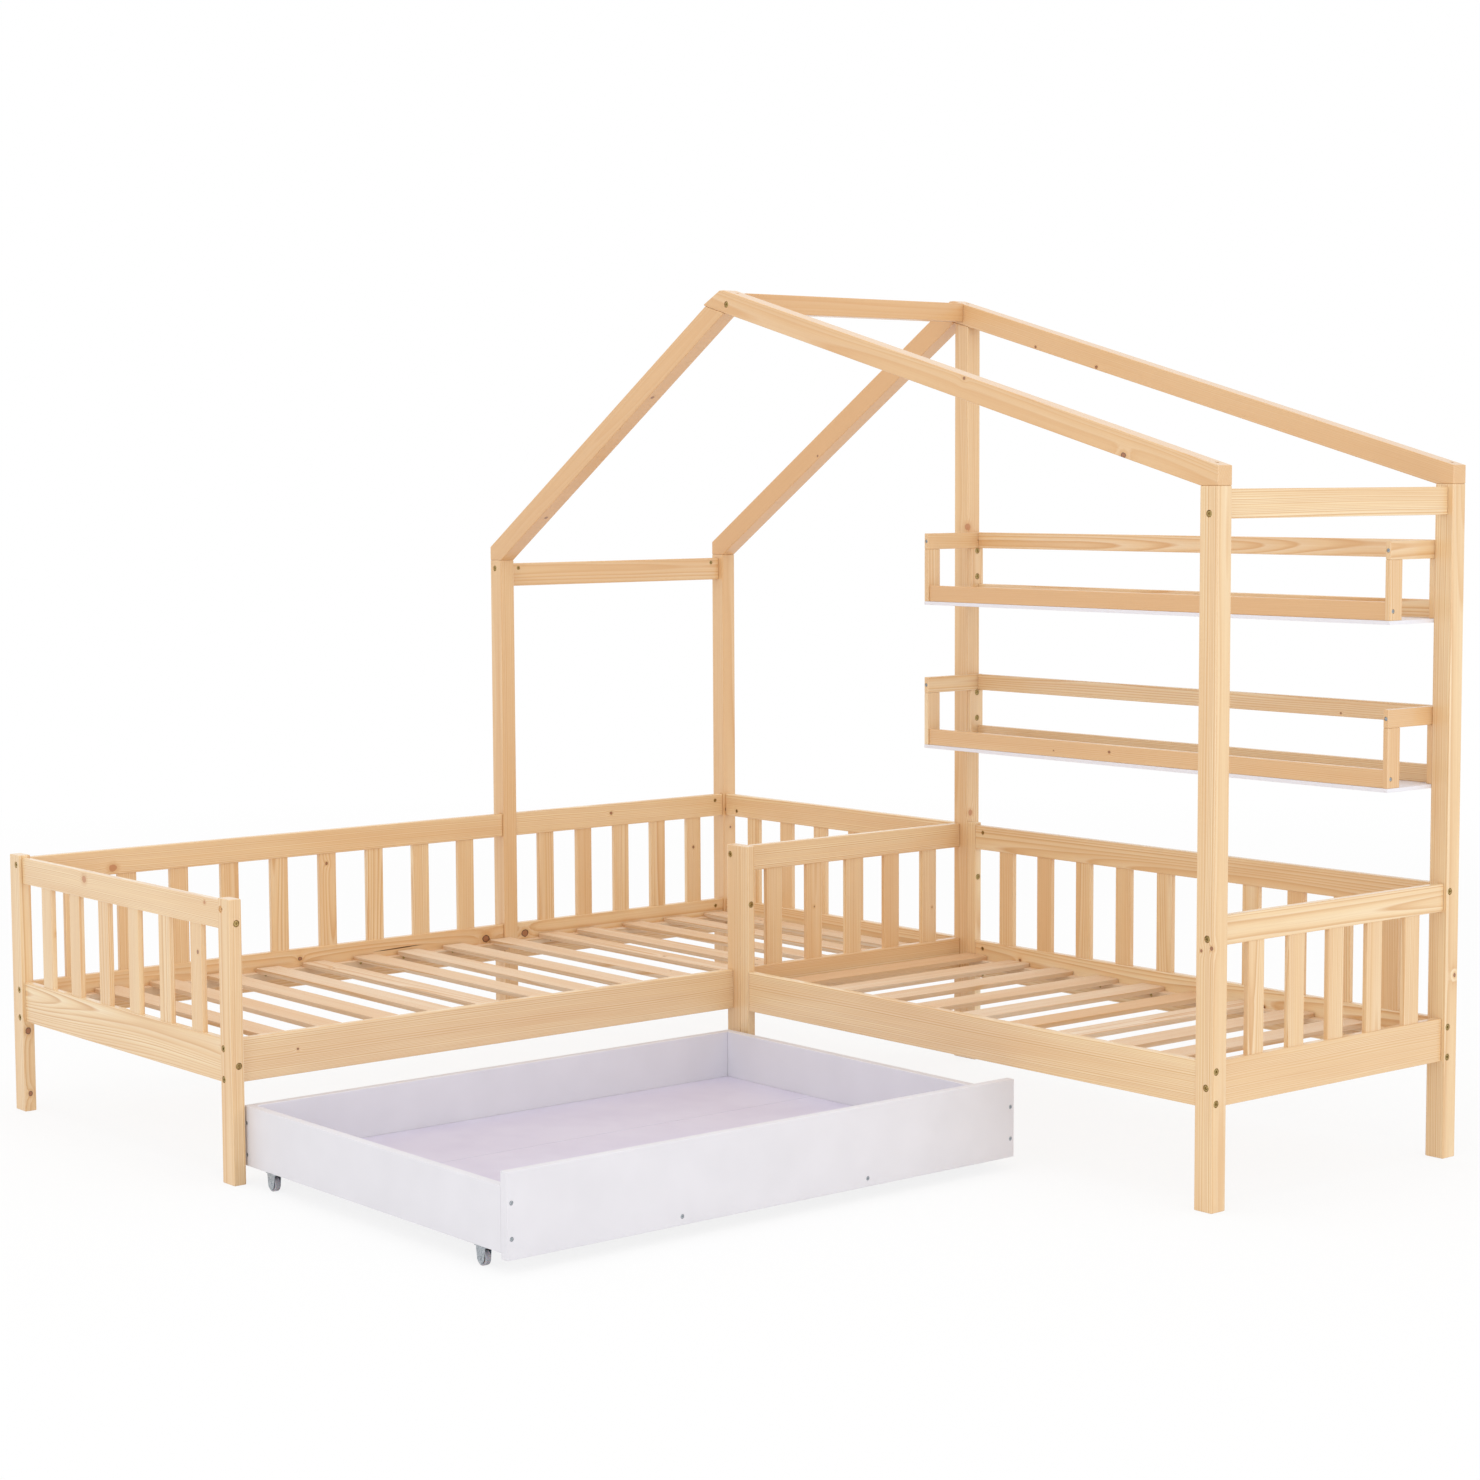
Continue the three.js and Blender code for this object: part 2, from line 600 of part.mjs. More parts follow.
const shelfEnds = [
  { side: 'left', outer: shelfX[0], inner: shelfInnerX[0], post: 'middle_post' },
  { side: 'right', outer: shelfX[1], inner: shelfInnerX[1], post: 'end_post_back' },
];

// The three rails between the end frames, each with its place on Y and Z.
function shelfRails(top) {
  const floor = top - shelf.height;
  return [
    { name: 'back_top_rail', y: shelfBackRailY, z: [top - shelf.rail, top] },
    { name: 'back_low_rail', y: shelfBackRailY, z: [floor, floor + shelf.rail] },
    { name: 'front_low_rail', y: shelfFrontRailY, z: [floor, floor + shelf.rail] },
  ];
}

function planShelfBores(name, top) {
  for (const { side, outer, inner, post } of shelfEnds) {
    const end = `${name}_shelf_${side}_end`;
    const [inward, outward] = side === 'left' ? ['plusX', 'minusX'] : ['minusX', 'plusX'];
    for (const drop of [shelfBolts.high, shelfBolts.low]) {
      const place = [inner, middle(shelfBackStileY), top - drop];
      drill(bolt, place, outward, shelf.board, [end, post], housePost.x / 2);
    }
    for (const rail of shelfRails(top)) {
      const place = [outer, middle(rail.y), middle(rail.z)];
      drill(screw, place, inward, shelf.board, [end, `${name}_shelf_${rail.name}`]);
    }
    drill(screw, [(outer + inner) / 2, -shelf.depth, top - shelf.rail / 2], 'plusY', 0, [end]);
  }
}

// An end frame: a rail over a front and a back stile, glued.
function shelfEndFrame(spanX, top) {
  const floor = top - shelf.height;
  return fuse([
    block(spanX, [-shelf.depth, 0], [top - shelf.rail, top]),
    block(spanX, shelfFrontStileY, [floor, top]),
    block(spanX, shelfBackStileY, [floor, top]),
  ]);
}

function addShelf(name, top) {
  const floor = top - shelf.height;
  for (const { side, outer, inner } of shelfEnds) {
    const x = [Math.min(outer, inner), Math.max(outer, inner)];
    addDrilled(`${name}_shelf_${side}_end`, shelfEndFrame(x, top), finishes.rail);
  }
  for (const rail of shelfRails(top)) {
    addDrilled(`${name}_shelf_${rail.name}`, block(shelfInnerX, rail.y, rail.z), finishes.rail);
  }
  const panel = block(shelfX, [-shelf.depth, 0], [floor - shelf.panel, floor]);
  add(`${name}_shelf_panel`, panel, finishes.white);
}

// Drawer: a box of four walls with a boarded bottom let into grooves, on four castors

const drawerY = [footPostY[1] + drawerClearance.footPost, innerPostY[0] - drawerClearance.innerPost];
const drawerSideX = [longBedWidth - drawerStay, longBedWidth - drawerStay + drawerSide.length];
const drawerFrontX = [drawerSideX[1], drawerSideX[1] + drawerFront.thickness];
const drawerBackX = [drawerSideX[0], drawerSideX[0] + drawerBackThickness];
const drawerLeftY = [drawerY[0], drawerY[0] + drawerSide.thickness];
const drawerRightY = [drawerY[1] - drawerSide.thickness, drawerY[1]];
const drawerFrontZ = [drawerFront.floorGap, drawerFront.floorGap + drawerFront.height];
const drawerWallZ = [castor.height, castor.height + drawerSide.height];
const drawerBottomZ = [
  drawerWallZ[0] + drawerBatten.height,
  drawerWallZ[0] + drawerBatten.height + drawerBottom.thickness,
];
const drawerBottomX = [drawerBackX[1] - drawerBottom.groove, drawerFrontX[0] + drawerBottom.groove];
const drawerBottomY = [drawerLeftY[1] - drawerBottom.groove, drawerRightY[0] + drawerBottom.groove];
const drawerBattenY = [drawerY[0] + drawerBatten.fromLeft, drawerY[1] - drawerBatten.fromRight];

const drawerSides = [
  { name: 'drawer_left_side', y: drawerLeftY, face: drawerY[0], inward: 'plusY' },
  { name: 'drawer_right_side', y: drawerRightY, face: drawerY[1], inward: 'minusY' },
];

function planDrawerBores() {
  const frontFace = drawerFrontX[1];
  for (const { name, y, face, inward } of drawerSides) {
    for (const rise of [drawerScrew.high, drawerScrew.low]) {
      const place = [frontFace, middle(y), drawerWallZ[0] + rise];
      drill(screw, place, 'minusX', drawerFront.thickness, ['drawer_front', name]);
    }
    for (const rise of [drawerScrew.backHigh, drawerScrew.backLow]) {
      const place = [drawerSideX[0] + drawerScrew.backInset, face, drawerWallZ[0] + rise];
      drill(screw, place, inward, drawerSide.thickness, [name, 'drawer_back']);
    }
  }
  for (const y of drawerBattenY) {
    const place = [frontFace, y, drawerWallZ[0] + drawerBatten.height / 2];
    drill(screw, place, 'minusX', drawerFront.thickness, ['drawer_front', 'drawer_bottom']);
  }
}

// The space that the bottom boards take in the grooves of the walls.
function drawerGroove() {
  const grown = (span) => [span[0] - fitGap, span[1] + fitGap];
  return block(grown(drawerBottomX), grown(drawerBottomY), grown(drawerBottomZ));
}

// Boards side by side along X, a hair apart, glued to two battens that run from front to back.
function drawerBottomBoards() {
  const length = drawerBottomX[1] - drawerBottomX[0];
  const board = (length - fitGap * (drawerBottom.boards - 1)) / drawerBottom.boards;
  const boards = Array.from({ length: drawerBottom.boards }, (_, index) => {
    const start = drawerBottomX[0] + index * (board + fitGap);
    return block([start, start + board], drawerBottomY, drawerBottomZ);
  });
  const battens = drawerBattenY.map((y) => block(
    [drawerBackX[1], drawerFrontX[0]],
    [y - drawerBatten.width / 2, y + drawerBatten.width / 2],
    [drawerWallZ[0], drawerBottomZ[0] + drawerBatten.seat],
  ));
  return fuse([...boards, ...battens]);
}

function addDrawer() {
  const groove = drawerGroove();
  const backBlock = block(drawerBackX, [drawerLeftY[1], drawerRightY[0]], drawerWallZ);
  addDrilled('drawer_front', block(drawerFrontX, drawerY, drawerFrontZ), finishes.white, [groove]);
  for (const { name, y } of drawerSides) {
    addDrilled(name, block(drawerSideX, y, drawerWallZ), finishes.white, [groove]);
  }
  addDrilled('drawer_back', backBlock, finishes.white, [groove]);
  addDrilled('drawer_bottom', drawerBottomBoards(), finishes.white);
}

// Castors, under both sides near the back and near the front

const castorSpots = [
  { name: 'back_left', x: drawerSideX[0] + castorPlaces.fromBack, y: middle(drawerLeftY) },
  { name: 'front_left', x: drawerSideX[1] - castorPlaces.fromFront, y: middle(drawerLeftY) },
  { name: 'back_right', x: drawerSideX[0] + castorPlaces.fromBack, y: middle(drawerRightY) },
  { name: 'front_right', x: drawerSideX[1] - castorPlaces.fromFront, y: middle(drawerRightY) },
];

// One cheek of a castor: wide under the plate, round below the axle.
function castorCheek(spanY) {
  const outline = new THREE.Shape();
  outline.moveTo(castor.shoulder, castor.height);
  outline.lineTo(castor.foot, wheel.radius);
  outline.absarc(0, wheel.radius, castor.foot, 0, Math.PI, true);
  outline.lineTo(-castor.shoulder, castor.height);
  const options = { depth: spanY[1] - spanY[0], bevelEnabled: false, curveSegments: axleSides / 2 };
  return new THREE.ExtrudeGeometry(outline, options).rotateX(Math.PI / 2).translate(0, spanY[1], 0);
}

// Plate, two cheeks and the riveted axle, bent and pressed from one strip.
function castorBracket({ x, y }) {
  const inner = wheel.width / 2 + wheel.sideGap;
  const outer = inner + castor.sheet;
  const plate = block(
    [-castor.length / 2, castor.length / 2],
    [-castor.width / 2, castor.width / 2],
    [castor.height - castor.sheet, castor.height],
  );
  const rod = new THREE.CylinderGeometry(axle.radius, axle.radius, outer * 2, axleSides);
  const cheeks = [[inner, outer], [-outer, -inner]].map(castorCheek);
  const parts = [plate, ...cheeks, rod.translate(0, 0, wheel.radius)];
  for (const end of [-1, 1]) {
    const length = axle.headThickness + castor.sheet / 2;
    const head = new THREE.CylinderGeometry(axle.headRadius, axle.headRadius, length, axleSides);
    parts.push(head.translate(0, end * (outer - castor.sheet / 2 + length / 2), wheel.radius));
  }
  return fuse(parts).translate(x, y, 0);
}

// A wheel with a rim, a sunk web and a hub, bored for the axle.
function castorWheel({ x, y }) {
  const bore = axle.radius + runningGap;
  const half = wheel.width / 2;
  const web = half - wheel.recess;
  const side = [
    [bore, half],
    [wheel.hub, half],
    [wheel.hub, web],
    [wheel.radius - wheel.rim, web],
    [wheel.radius - wheel.rim, half],
    [wheel.radius - wheel.round, half],
    [wheel.radius, half - wheel.round],
  ];
  const lower = side.map(([radius, height]) => [radius, -height]);
  const profile = [...lower, ...side.reverse(), lower[0]];
  return turned(profile, wheelSides).translate(x, y, wheel.radius);
}

function addCastors() {
  for (const spot of castorSpots) {
    add(`castor_bracket_${spot.name}`, castorBracket(spot), finishes.zinc);
    add(`castor_wheel_${spot.name}`, castorWheel(spot), finishes.wheel);
  }
}

// Assembly: the bores are planned first, because the pieces are cut by them

planFrameBolts();
planRoofBores();
for (const [name, top] of Object.entries(shelfTops)) planShelfBores(name, top);
planDrawerBores();

addPosts();
guards.forEach(addGuard);
addFrontRails();
addLongBedSlats();
addSideBedSlats();
addRoof();
for (const [name, top] of Object.entries(shelfTops)) addShelf(name, top);
addDrawer();
addCastors();

bed.position.set(-overallWidth / 2, longBedLength / 2, 0);

export default bed;
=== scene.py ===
"""Looks of the house bed: pine, white boards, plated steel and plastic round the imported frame.

Lengths are metres in the part's own frame. Places read from the photograph are millimetres from the
corner between both walls, and on_bed turns them.
"""

import logging
import math
from collections.abc import Sequence
from dataclasses import dataclass, field, fields, replace
from enum import Enum, IntEnum

import bpy
import numpy as np
from mathutils import Matrix, Vector


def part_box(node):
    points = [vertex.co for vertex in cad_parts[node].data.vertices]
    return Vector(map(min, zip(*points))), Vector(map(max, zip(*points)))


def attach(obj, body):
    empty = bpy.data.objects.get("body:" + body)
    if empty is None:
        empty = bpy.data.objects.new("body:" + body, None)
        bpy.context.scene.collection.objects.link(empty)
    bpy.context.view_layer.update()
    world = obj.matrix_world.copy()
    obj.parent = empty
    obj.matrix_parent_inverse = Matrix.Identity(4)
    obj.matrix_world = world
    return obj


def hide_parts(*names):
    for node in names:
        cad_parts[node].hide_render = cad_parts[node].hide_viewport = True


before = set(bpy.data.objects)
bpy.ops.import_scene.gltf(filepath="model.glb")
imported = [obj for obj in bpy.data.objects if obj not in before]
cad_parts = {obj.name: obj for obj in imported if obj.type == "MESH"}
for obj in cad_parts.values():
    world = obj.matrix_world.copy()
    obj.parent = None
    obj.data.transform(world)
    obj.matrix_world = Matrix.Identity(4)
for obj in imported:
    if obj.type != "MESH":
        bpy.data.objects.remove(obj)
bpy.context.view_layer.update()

log = logging.getLogger("house_bed")
Span = tuple[float, float]
Box = tuple[np.ndarray, np.ndarray]
Shell = tuple[np.ndarray, list[list[int]]]
Tree = bpy.types.NodeTree
Socket = bpy.types.NodeSocket
Value = float | str | tuple | Socket | bpy.types.Node
MILLIMETRE = 0.001


class Axis(IntEnum):
    """An axis of the part's frame, by its index."""

    X = 0
    Y = 1
    Z = 2


class Run(Enum):
    """Which way a rail runs: its top bolt's drop from its top, and its low bolts' rises from its foot.

    The two ways differ, so that no bolts meet in a post.
    """

    LONG = (0.016, (0.009, 0.072))
    CROSS = (0.043, (0.039,))


# Colour and node helpers


def linear(code: str) -> tuple[float, float, float, float]:
    """Turns an sRGB hex colour into Blender's linear values.

    Args:
        code: the colour as six hex digits.

    Returns:
        Red, green and blue as linear numbers, and an alpha of 1.
    """
    parts = [int(code[i : i + 2], 16) / 255 for i in (0, 2, 4)]
    curve = [c / 12.92 if c <= 0.04045 else ((c + 0.055) / 1.055) ** 2.4 for c in parts]
    return (*curve, 1.0)


def add_node(tree: Tree, kind: str, *places: Value, stops: tuple = (), **named: Value) -> bpy.types.Node:
    """Adds a node with its settings, values and links.

    Args:
        tree: the node tree that gets the node.
        kind: the node's type name without the ShaderNode prefix.
        places: its first inputs in order, each a number, a hex colour, a socket, or a node whose first
            output is linked.
        stops: places and hex colours along a colour ramp.
        named: settings in small letters, and inputs by name or identifier, with _ for a space.

    Returns:
        The new node.
    """
    node = tree.nodes.new("ShaderNode" + kind)
    inputs = dict(enumerate(places))
    for name, value in named.items():
        if name.islower():
            setattr(node, name, value)
        else:
            inputs[name] = value
    for key, value in inputs.items():
        if isinstance(key, str):
            names = [(socket.identifier, socket.name.replace(" ", "_")) for socket in node.inputs]
            key = next(index for index, pair in enumerate(names) if key in pair)
        if isinstance(value, bpy.types.Node):
            value = value.outputs[0]
        if isinstance(value, Socket):
            tree.links.new(value, node.inputs[key])
        else:
            node.inputs[key].default_value = linear(value) if isinstance(value, str) else value
    if stops:
        elements = node.color_ramp.elements
        for _ in stops[2:]:
            elements.new(1.0)
        for element, (place, code) in zip(elements, stops):
            element.position, element.color = place, linear(code)
    return node


def new_material(name: str) -> tuple[bpy.types.Material, Tree]:
    """Makes a material without nodes.

    Args:
        name: the material's name.

    Returns:
        The material and its node tree.
    """
    material = bpy.data.materials.new(name)
    material.use_nodes = True
    material.node_tree.nodes.clear()
    return material, material.node_tree


def backdrop_share(tree: Tree) -> bpy.types.Node:
    """Gives 1 to the rays that show the backdrop: the camera's, and those that metal and glass send on.

    Args:
        tree: the node tree.

    Returns:
        The last node, with the share as its output.
    """
    ray = add_node(tree, "LightPath").outputs
    seen = add_node(tree, "Math", ray["Is Camera Ray"], ray["Is Glossy Ray"], operation="MAXIMUM")
    return add_node(tree, "Math", seen, ray["Is Transmission Ray"], operation="MAXIMUM")


# Finishes


@dataclass(frozen=True)
class Pine:
    """Scots pine, planed and clear lacquered: straight honey lines of latewood in pale earlywood.

    Each board carries its own grain coordinates, so that the figure runs along it, and the places of
    up to two knots, counted in knot radii.
    """

    name: str
    pale: str = "F9E6C3"
    honey: str = "F2D4A5"
    latewood: str = "D4A066"
    reddish: str = "DEAE78"
    knot: str = "A2683E"
    knot_rim: str = "4C2A14"
    live_knot: str = "C58755"
    # Painted shade on the upright faces of lying boards: its colour, and how much of it is mixed in.
    upright_face_shade: str = "B39470"
    upright_face_shade_share: float = 0.0
    ring: float = 0.0042
    figure: float = 0.6
    year_swing: float = 0.9
    roughness: float = 0.42
    lacquer: float = 0.7

    def build(self) -> bpy.types.Material:
        """Makes the material.

        Returns:
            The pine material.
        """
        material, tree = new_material(self.name)
        grain = add_node(tree, "Attribute", attribute_name="grain").outputs["Vector"]
        tone = add_node(tree, "Attribute", attribute_name="tone").outputs["Fac"]
        live = add_node(tree, "Attribute", attribute_name="live").outputs["Fac"]
        reach = self._knot_reach(tree, grain)
        rings = self._rings(tree, grain, reach)
        # Fibres are a tenth of a millimetre wide and are drawn a millimetre wide, so that they show.
        fibre = self._streaks(tree, grain, (5.0, 620.0, 620.0), 3.0)
        # Resin makes bands a few centimetres wide and half a metre long a little warmer.
        resin = self._streaks(tree, grain, (1.6, 22.0, 22.0), 2.0)
        # Some years leave a dark line and others hardly any: the share swings to both sides of figure.
        year = self._streaks(tree, grain, (0.5, 70.0, 70.0), 1.0)
        stops = ((0.0, self.pale), (0.5, self.honey), (0.86, self.latewood), (1.0, self.pale))
        wood = add_node(tree, "ValToRGB", rings, stops=stops)
        # A dead knot is dark with a black rim of bark; a live one has grown in and is only redder.
        bark, heart = (
            add_node(tree, "Mix", live, data_type="RGBA", A_Color=dead, B_Color=self.live_knot).outputs[2]
            for dead in (self.knot_rim, self.knot)
        )
        swing = self.year_swing
        # The layers over the plain honey: what drives each, where it starts and is full, and its share.
        layers = [
            (year, (swing - self.figure) / (2 * swing), 1.0, self.figure + swing, wood),
            (tone, 0.0, 2.0, 1.4, self.reddish),
            (resin, 0.375, 1.0, 0.75, self.reddish),
            (fibre, 0.375, 1.0, 0.5, self.latewood),
            (reach, 2.6, 0.9, 0.55, self.latewood),
            (reach, 1.1, 0.95, 1.0, bark),
            (reach, 0.92, 0.7, 1.0, heart),
        ]
        if self.upright_face_shade_share:
            # Painted shade: the upright faces of a lying board, found by their normals, are mixed toward a
            # darker brown that stands in for the shade on its sides.
            normal = add_node(tree, "TexCoord").outputs["Normal"]
            rise = add_node(tree, "SeparateXYZ", normal).outputs["Z"]
            level = add_node(tree, "Math", rise, operation="ABSOLUTE")
            layers.append((level, 0.6, 0.1, self.upright_face_shade_share, self.upright_face_shade))
        colour = self.honey
        for driver, start, full, share, tint in layers:
            ends = {"From_Min": start, "From_Max": full, "To_Max": share}
            curve = "SMOOTHSTEP" if start > full else "LINEAR"
            amount = add_node(tree, "MapRange", driver, interpolation_type=curve, **ends)
            colour = add_node(tree, "Mix", amount, data_type="RGBA", A_Color=colour, B_Color=tint).outputs[2]
        # The late half of each ring stands a few hundredths of a millimetre proud after planing.
        turn = add_node(tree, "Math", rings, math.pi, operation="MULTIPLY")
        swell = add_node(tree, "Math", turn, operation="SINE")
        relief = add_node(tree, "Math", swell, fibre, operation="ADD")
        bump = add_node(tree, "Bump", Strength=0.1, Distance=0.0001, Height=relief)
        gloss = {"Roughness": self.roughness, "Coat_Weight": self.lacquer, "Coat_Roughness": 0.2}
        shader = add_node(tree, "BsdfPrincipled", Base_Color=colour, Normal=bump, **gloss)
        add_node(tree, "OutputMaterial", shader)
        return material

    def _streaks(self, tree: Tree, grain: Socket, scale: tuple, detail: float) -> bpy.types.Node:
        """Noise drawn out along the grain, in which a streak is about 1 / scale metres long and wide."""
        stretched = add_node(tree, "Mapping", grain, Scale=scale)
        return add_node(tree, "TexNoise", stretched, Scale=1.0, Detail=detail)

    def _knot_reach(self, tree: Tree, grain: Socket) -> Socket:
        """Distance to the nearer of the board's two knots in knot radii, with a ragged edge.

        Args:
            tree: the node tree.
            grain: the board's own coordinates.

        Returns:
            A socket that is 1 at a knot's edge.
        """
        ragged = add_node(tree, "TexNoise", grain, Scale=160.0, Detail=2.0)
        jitter = add_node(tree, "MapRange", ragged, To_Min=0.75, To_Max=1.25)
        found = []
        for name in ("knot_one", "knot_two"):
            place = add_node(tree, "Attribute", attribute_name=name).outputs["Vector"]
            oval = add_node(tree, "VectorMath", place, (0.85, 1.0, 1.0), operation="MULTIPLY")
            found.append(add_node(tree, "VectorMath", oval, operation="LENGTH").outputs["Value"])
        near = add_node(tree, "Math", *found, operation="MINIMUM")
        return add_node(tree, "Math", near, jitter, operation="MULTIPLY").outputs[0]

    def _rings(self, tree: Tree, grain: Socket, reach: Socket) -> Socket:
        """Growth rings: the distance to a pith line that wanders a little, counted in ring widths.

        Round a knot the count falls off as 1.6 / (1 + reach squared / 3), so that the lines swerve.

        Args:
            tree: the node tree.
            grain: the board's own coordinates, along, across and through.
            reach: the distance to the nearer knot in knot radii.

        Returns:
            A socket from 0 in the earlywood to 1 at the end of the latewood line.
        """
        # The pith line wanders by up to 15 mm to either side, over a metre or so.
        slow = add_node(tree, "Mapping", grain, Scale=(0.8, 5.0, 5.0))
        wander = add_node(tree, "TexNoise", slow, Scale=1.0, Detail=2.0, Roughness=0.4)
        drift = add_node(tree, "Math", wander, 0.03, -0.015, operation="MULTIPLY_ADD")
        parts = add_node(tree, "SeparateXYZ", grain)
        offsets = [add_node(tree, "Math", parts.outputs[i], drift, operation="ADD") for i in (1, 2)]
        flat = add_node(tree, "CombineXYZ", *offsets)
        radius = add_node(tree, "VectorMath", flat, operation="LENGTH").outputs["Value"]
        count = add_node(tree, "Math", radius, self.ring, operation="DIVIDE")
        # Wide and narrow years: the count runs ahead of the distance by up to four rings, and the lead
        # comes and goes over about 2 cm.
        spoke = add_node(tree, "Math", radius, 55.0, operation="MULTIPLY")
        line = add_node(tree, "CombineXYZ", spoke)
        ahead = add_node(tree, "TexNoise", line, Scale=1.0, Detail=1.0)
        uneven = add_node(tree, "Math", ahead, 4.0, count, operation="MULTIPLY_ADD")
        square = add_node(tree, "Math", reach, reach, operation="MULTIPLY")
        under = add_node(tree, "Math", square, 0.333, 1.0, operation="MULTIPLY_ADD")
        swerve = add_node(tree, "Math", 1.6, under, operation="DIVIDE")
        total = add_node(tree, "Math", uneven, swerve, operation="ADD")
        return add_node(tree, "Math", total, operation="FRACT").outputs[0]


@dataclass(frozen=True)
class Coat:
    """A finish whose colour swings between two near shades, over a fine relief.

    Patches and stipple are noise on the piece's own coordinates: how many spots a metre has, and their
    detail. The colour follows the patches, and the relief, a strength and a depth, follows the stipple,
    or the patches where there is none.
    """

    name: str
    shades: tuple[tuple[float, str], tuple[float, str]]
    patches: Span
    relief: Span
    roughness: float
    stipple: Span | None = None
    rough_swing: Span | None = None
    sockets: tuple[tuple[str, float], ...] = ()

    def build(self) -> bpy.types.Material:
        """Makes the material.

        Returns:
            The material.
        """
        material, tree = new_material(self.name)
        place = add_node(tree, "TexCoord").outputs["Object"]
        patches = add_node(tree, "TexNoise", place, Scale=self.patches[0], Detail=self.patches[1])
        stipple = patches
        if self.stipple:
            stipple = add_node(tree, "TexNoise", place, Scale=self.stipple[0], Detail=self.stipple[1])
        rough = self.roughness
        if self.rough_swing:
            low, high = (rough + swing for swing in self.rough_swing)
            rough = add_node(tree, "MapRange", patches, To_Min=low, To_Max=high)
        colour = add_node(tree, "ValToRGB", patches, stops=self.shades)
        strength, depth = self.relief
        bump = add_node(tree, "Bump", Strength=strength, Distance=depth, Height=stipple)
        look = {"Base_Color": colour, "Roughness": rough, "Normal": bump, **dict(self.sockets)}
        add_node(tree, "OutputMaterial", add_node(tree, "BsdfPrincipled", **look))
        return material


# Water-based paint, sprayed: a faint lilac white. The coat is thinner in patches the size of a hand, and
# it dries to a stipple about 1.5 mm across, which takes the hardness off the sheen.
SPRAYED = Coat(
    "white_paint_sprayed",
    shades=((0.3, "E1DFE4"), (0.65, "E5E3E8")),
    patches=(9.0, 2.0),
    relief=(0.2, 0.0001),
    roughness=0.5,
    stipple=(650.0, 1.0),
)
# Steel, barrel plated with zinc: bright, cloudy from the tumbling over 2 to 3 mm.
PLATED = Coat(
    "steel_zinc_plated",
    shades=((0.35, "8D949B"), (0.65, "C3C8CC")),
    patches=(420.0, 3.0),
    relief=(0.15, 0.00005),
    roughness=0.32,
    rough_swing=(-0.08, 0.12),
    sockets=(("Metallic", 1.0),),
)
# Melamine-faced board, pressed: an even cool white with a matt stipple 0.7 mm across.
PRESSED = Coat(
    "melamine_board_pressed",
    shades=((0.3, "E9E8EF"), (0.7, "F0EFF5")),
    patches=(1400.0, 1.0),
    relief=(0.2, 0.00008),
    roughness=0.38,
)
# Polypropylene, injection moulded: milky grey with flow marks 5 mm wide, and a little light in it.
MOULDED = Coat(
    "polypropylene_moulded",
    shades=((0.3, "A5A4AB"), (0.7, "B5B4BA")),
    patches=(180.0, 2.0),
    relief=(0.1, 0.0001),
    roughness=0.35,
    sockets=(("Subsurface_Weight", 0.25), ("Subsurface_Scale", 0.002)),
)


class Finish(Enum):
    """Every finish on the bed: a slot name, and how its material is made."""

    # Pine, planed and lacquered: cream and honey lines under a soft sheen.
    POST = ("pine_posts", Pine("pine_post_lacquered"))
    RAIL = ("pine_rails", Pine("pine_rail_lacquered", ring=0.0036, figure=0.68))
    SHELF = ("pine_rails", Pine("pine_shelf_lacquered", ring=0.003, figure=0.85))
    # Pine, planed and left bare: paler and dull, with painted shade on the upright faces of the slats.
    SLAT = (
        "pine_slats",
        Pine("pine_slat_planed", "F5E6D2", "EED9BF", lacquer=0.0, roughness=0.65, upright_face_shade_share=0.25),
    )
    PAINT = ("white_paint", SPRAYED)
    # The same paint, darker and more lilac, on the drawer's bottom boards.
    THIN_PAINT = (
        "white_paint",
        replace(SPRAYED, name="white_paint_thin_coat", shades=((0.3, "D3CCDD"), (0.65, "D9D3E2"))),
    )
    PANEL = ("white_panel", PRESSED)
    ZINC = ("zinc", PLATED)
    # The same zinc passivated yellow, which gives bolts and nuts a brassy tint.
    YELLOW_ZINC = (
        "zinc",
        replace(PLATED, name="steel_yellow_passivated", shades=((0.35, "8F7748"), (0.65, "C7AE76"))),
    )
    PLASTIC = ("wheel_plastic", MOULDED)

    def material(self) -> bpy.types.Material:
        """The finish's material, which is made when it is first asked for."""
        look = self.value[1]
        return bpy.data.materials.get(look.name) or look.build()


# Surfaces


def unit(axis: Axis, sign: float = 1.0) -> np.ndarray:
    """The unit vector of an axis."""
    return np.eye(3)[axis] * sign


def weld(points: np.ndarray, faces: list[list[int]]) -> Shell:
    """Merges points that coincide and drops the faces that shrink to a line.

    Args:
        points: the points, one row each.
        faces: the faces as lists of rows.

    Returns:
        The points and faces that are left.
    """
    # Points closer than a ten-thousandth of a millimetre are one.
    keys = np.round(points * 1e7).astype(np.int64)
    _, first, place = np.unique(keys, axis=0, return_index=True, return_inverse=True)
    place = place.reshape(-1).tolist()
    rings = [[place[i] for i in face] for face in faces]
    rings = [[p for i, p in enumerate(ring) if p != ring[i - 1]] for ring in rings]
    return points[first], [ring for ring in rings if len(ring) > 2]


def ring_faces(rings: int, around: int) -> list[list[int]]:
    """Quads between neighbouring rings of points, and a cap on the first and the last ring.

    Args:
        rings: how many rings there are.
        around: how many points each ring has.

    Returns:
        The faces, with the two caps last.
    """
    i, j = np.meshgrid(np.arange(rings - 1), np.arange(around), indexing="ij")
    after = (j + 1) % around
    corners = [i * around + j, i * around + after, (i + 1) * around + after, (i + 1) * around + j]
    quads = np.stack(corners, -1).reshape(-1, 4).tolist()
    return [*quads, list(range(around))[::-1], list(range((rings - 1) * around, rings * around))]


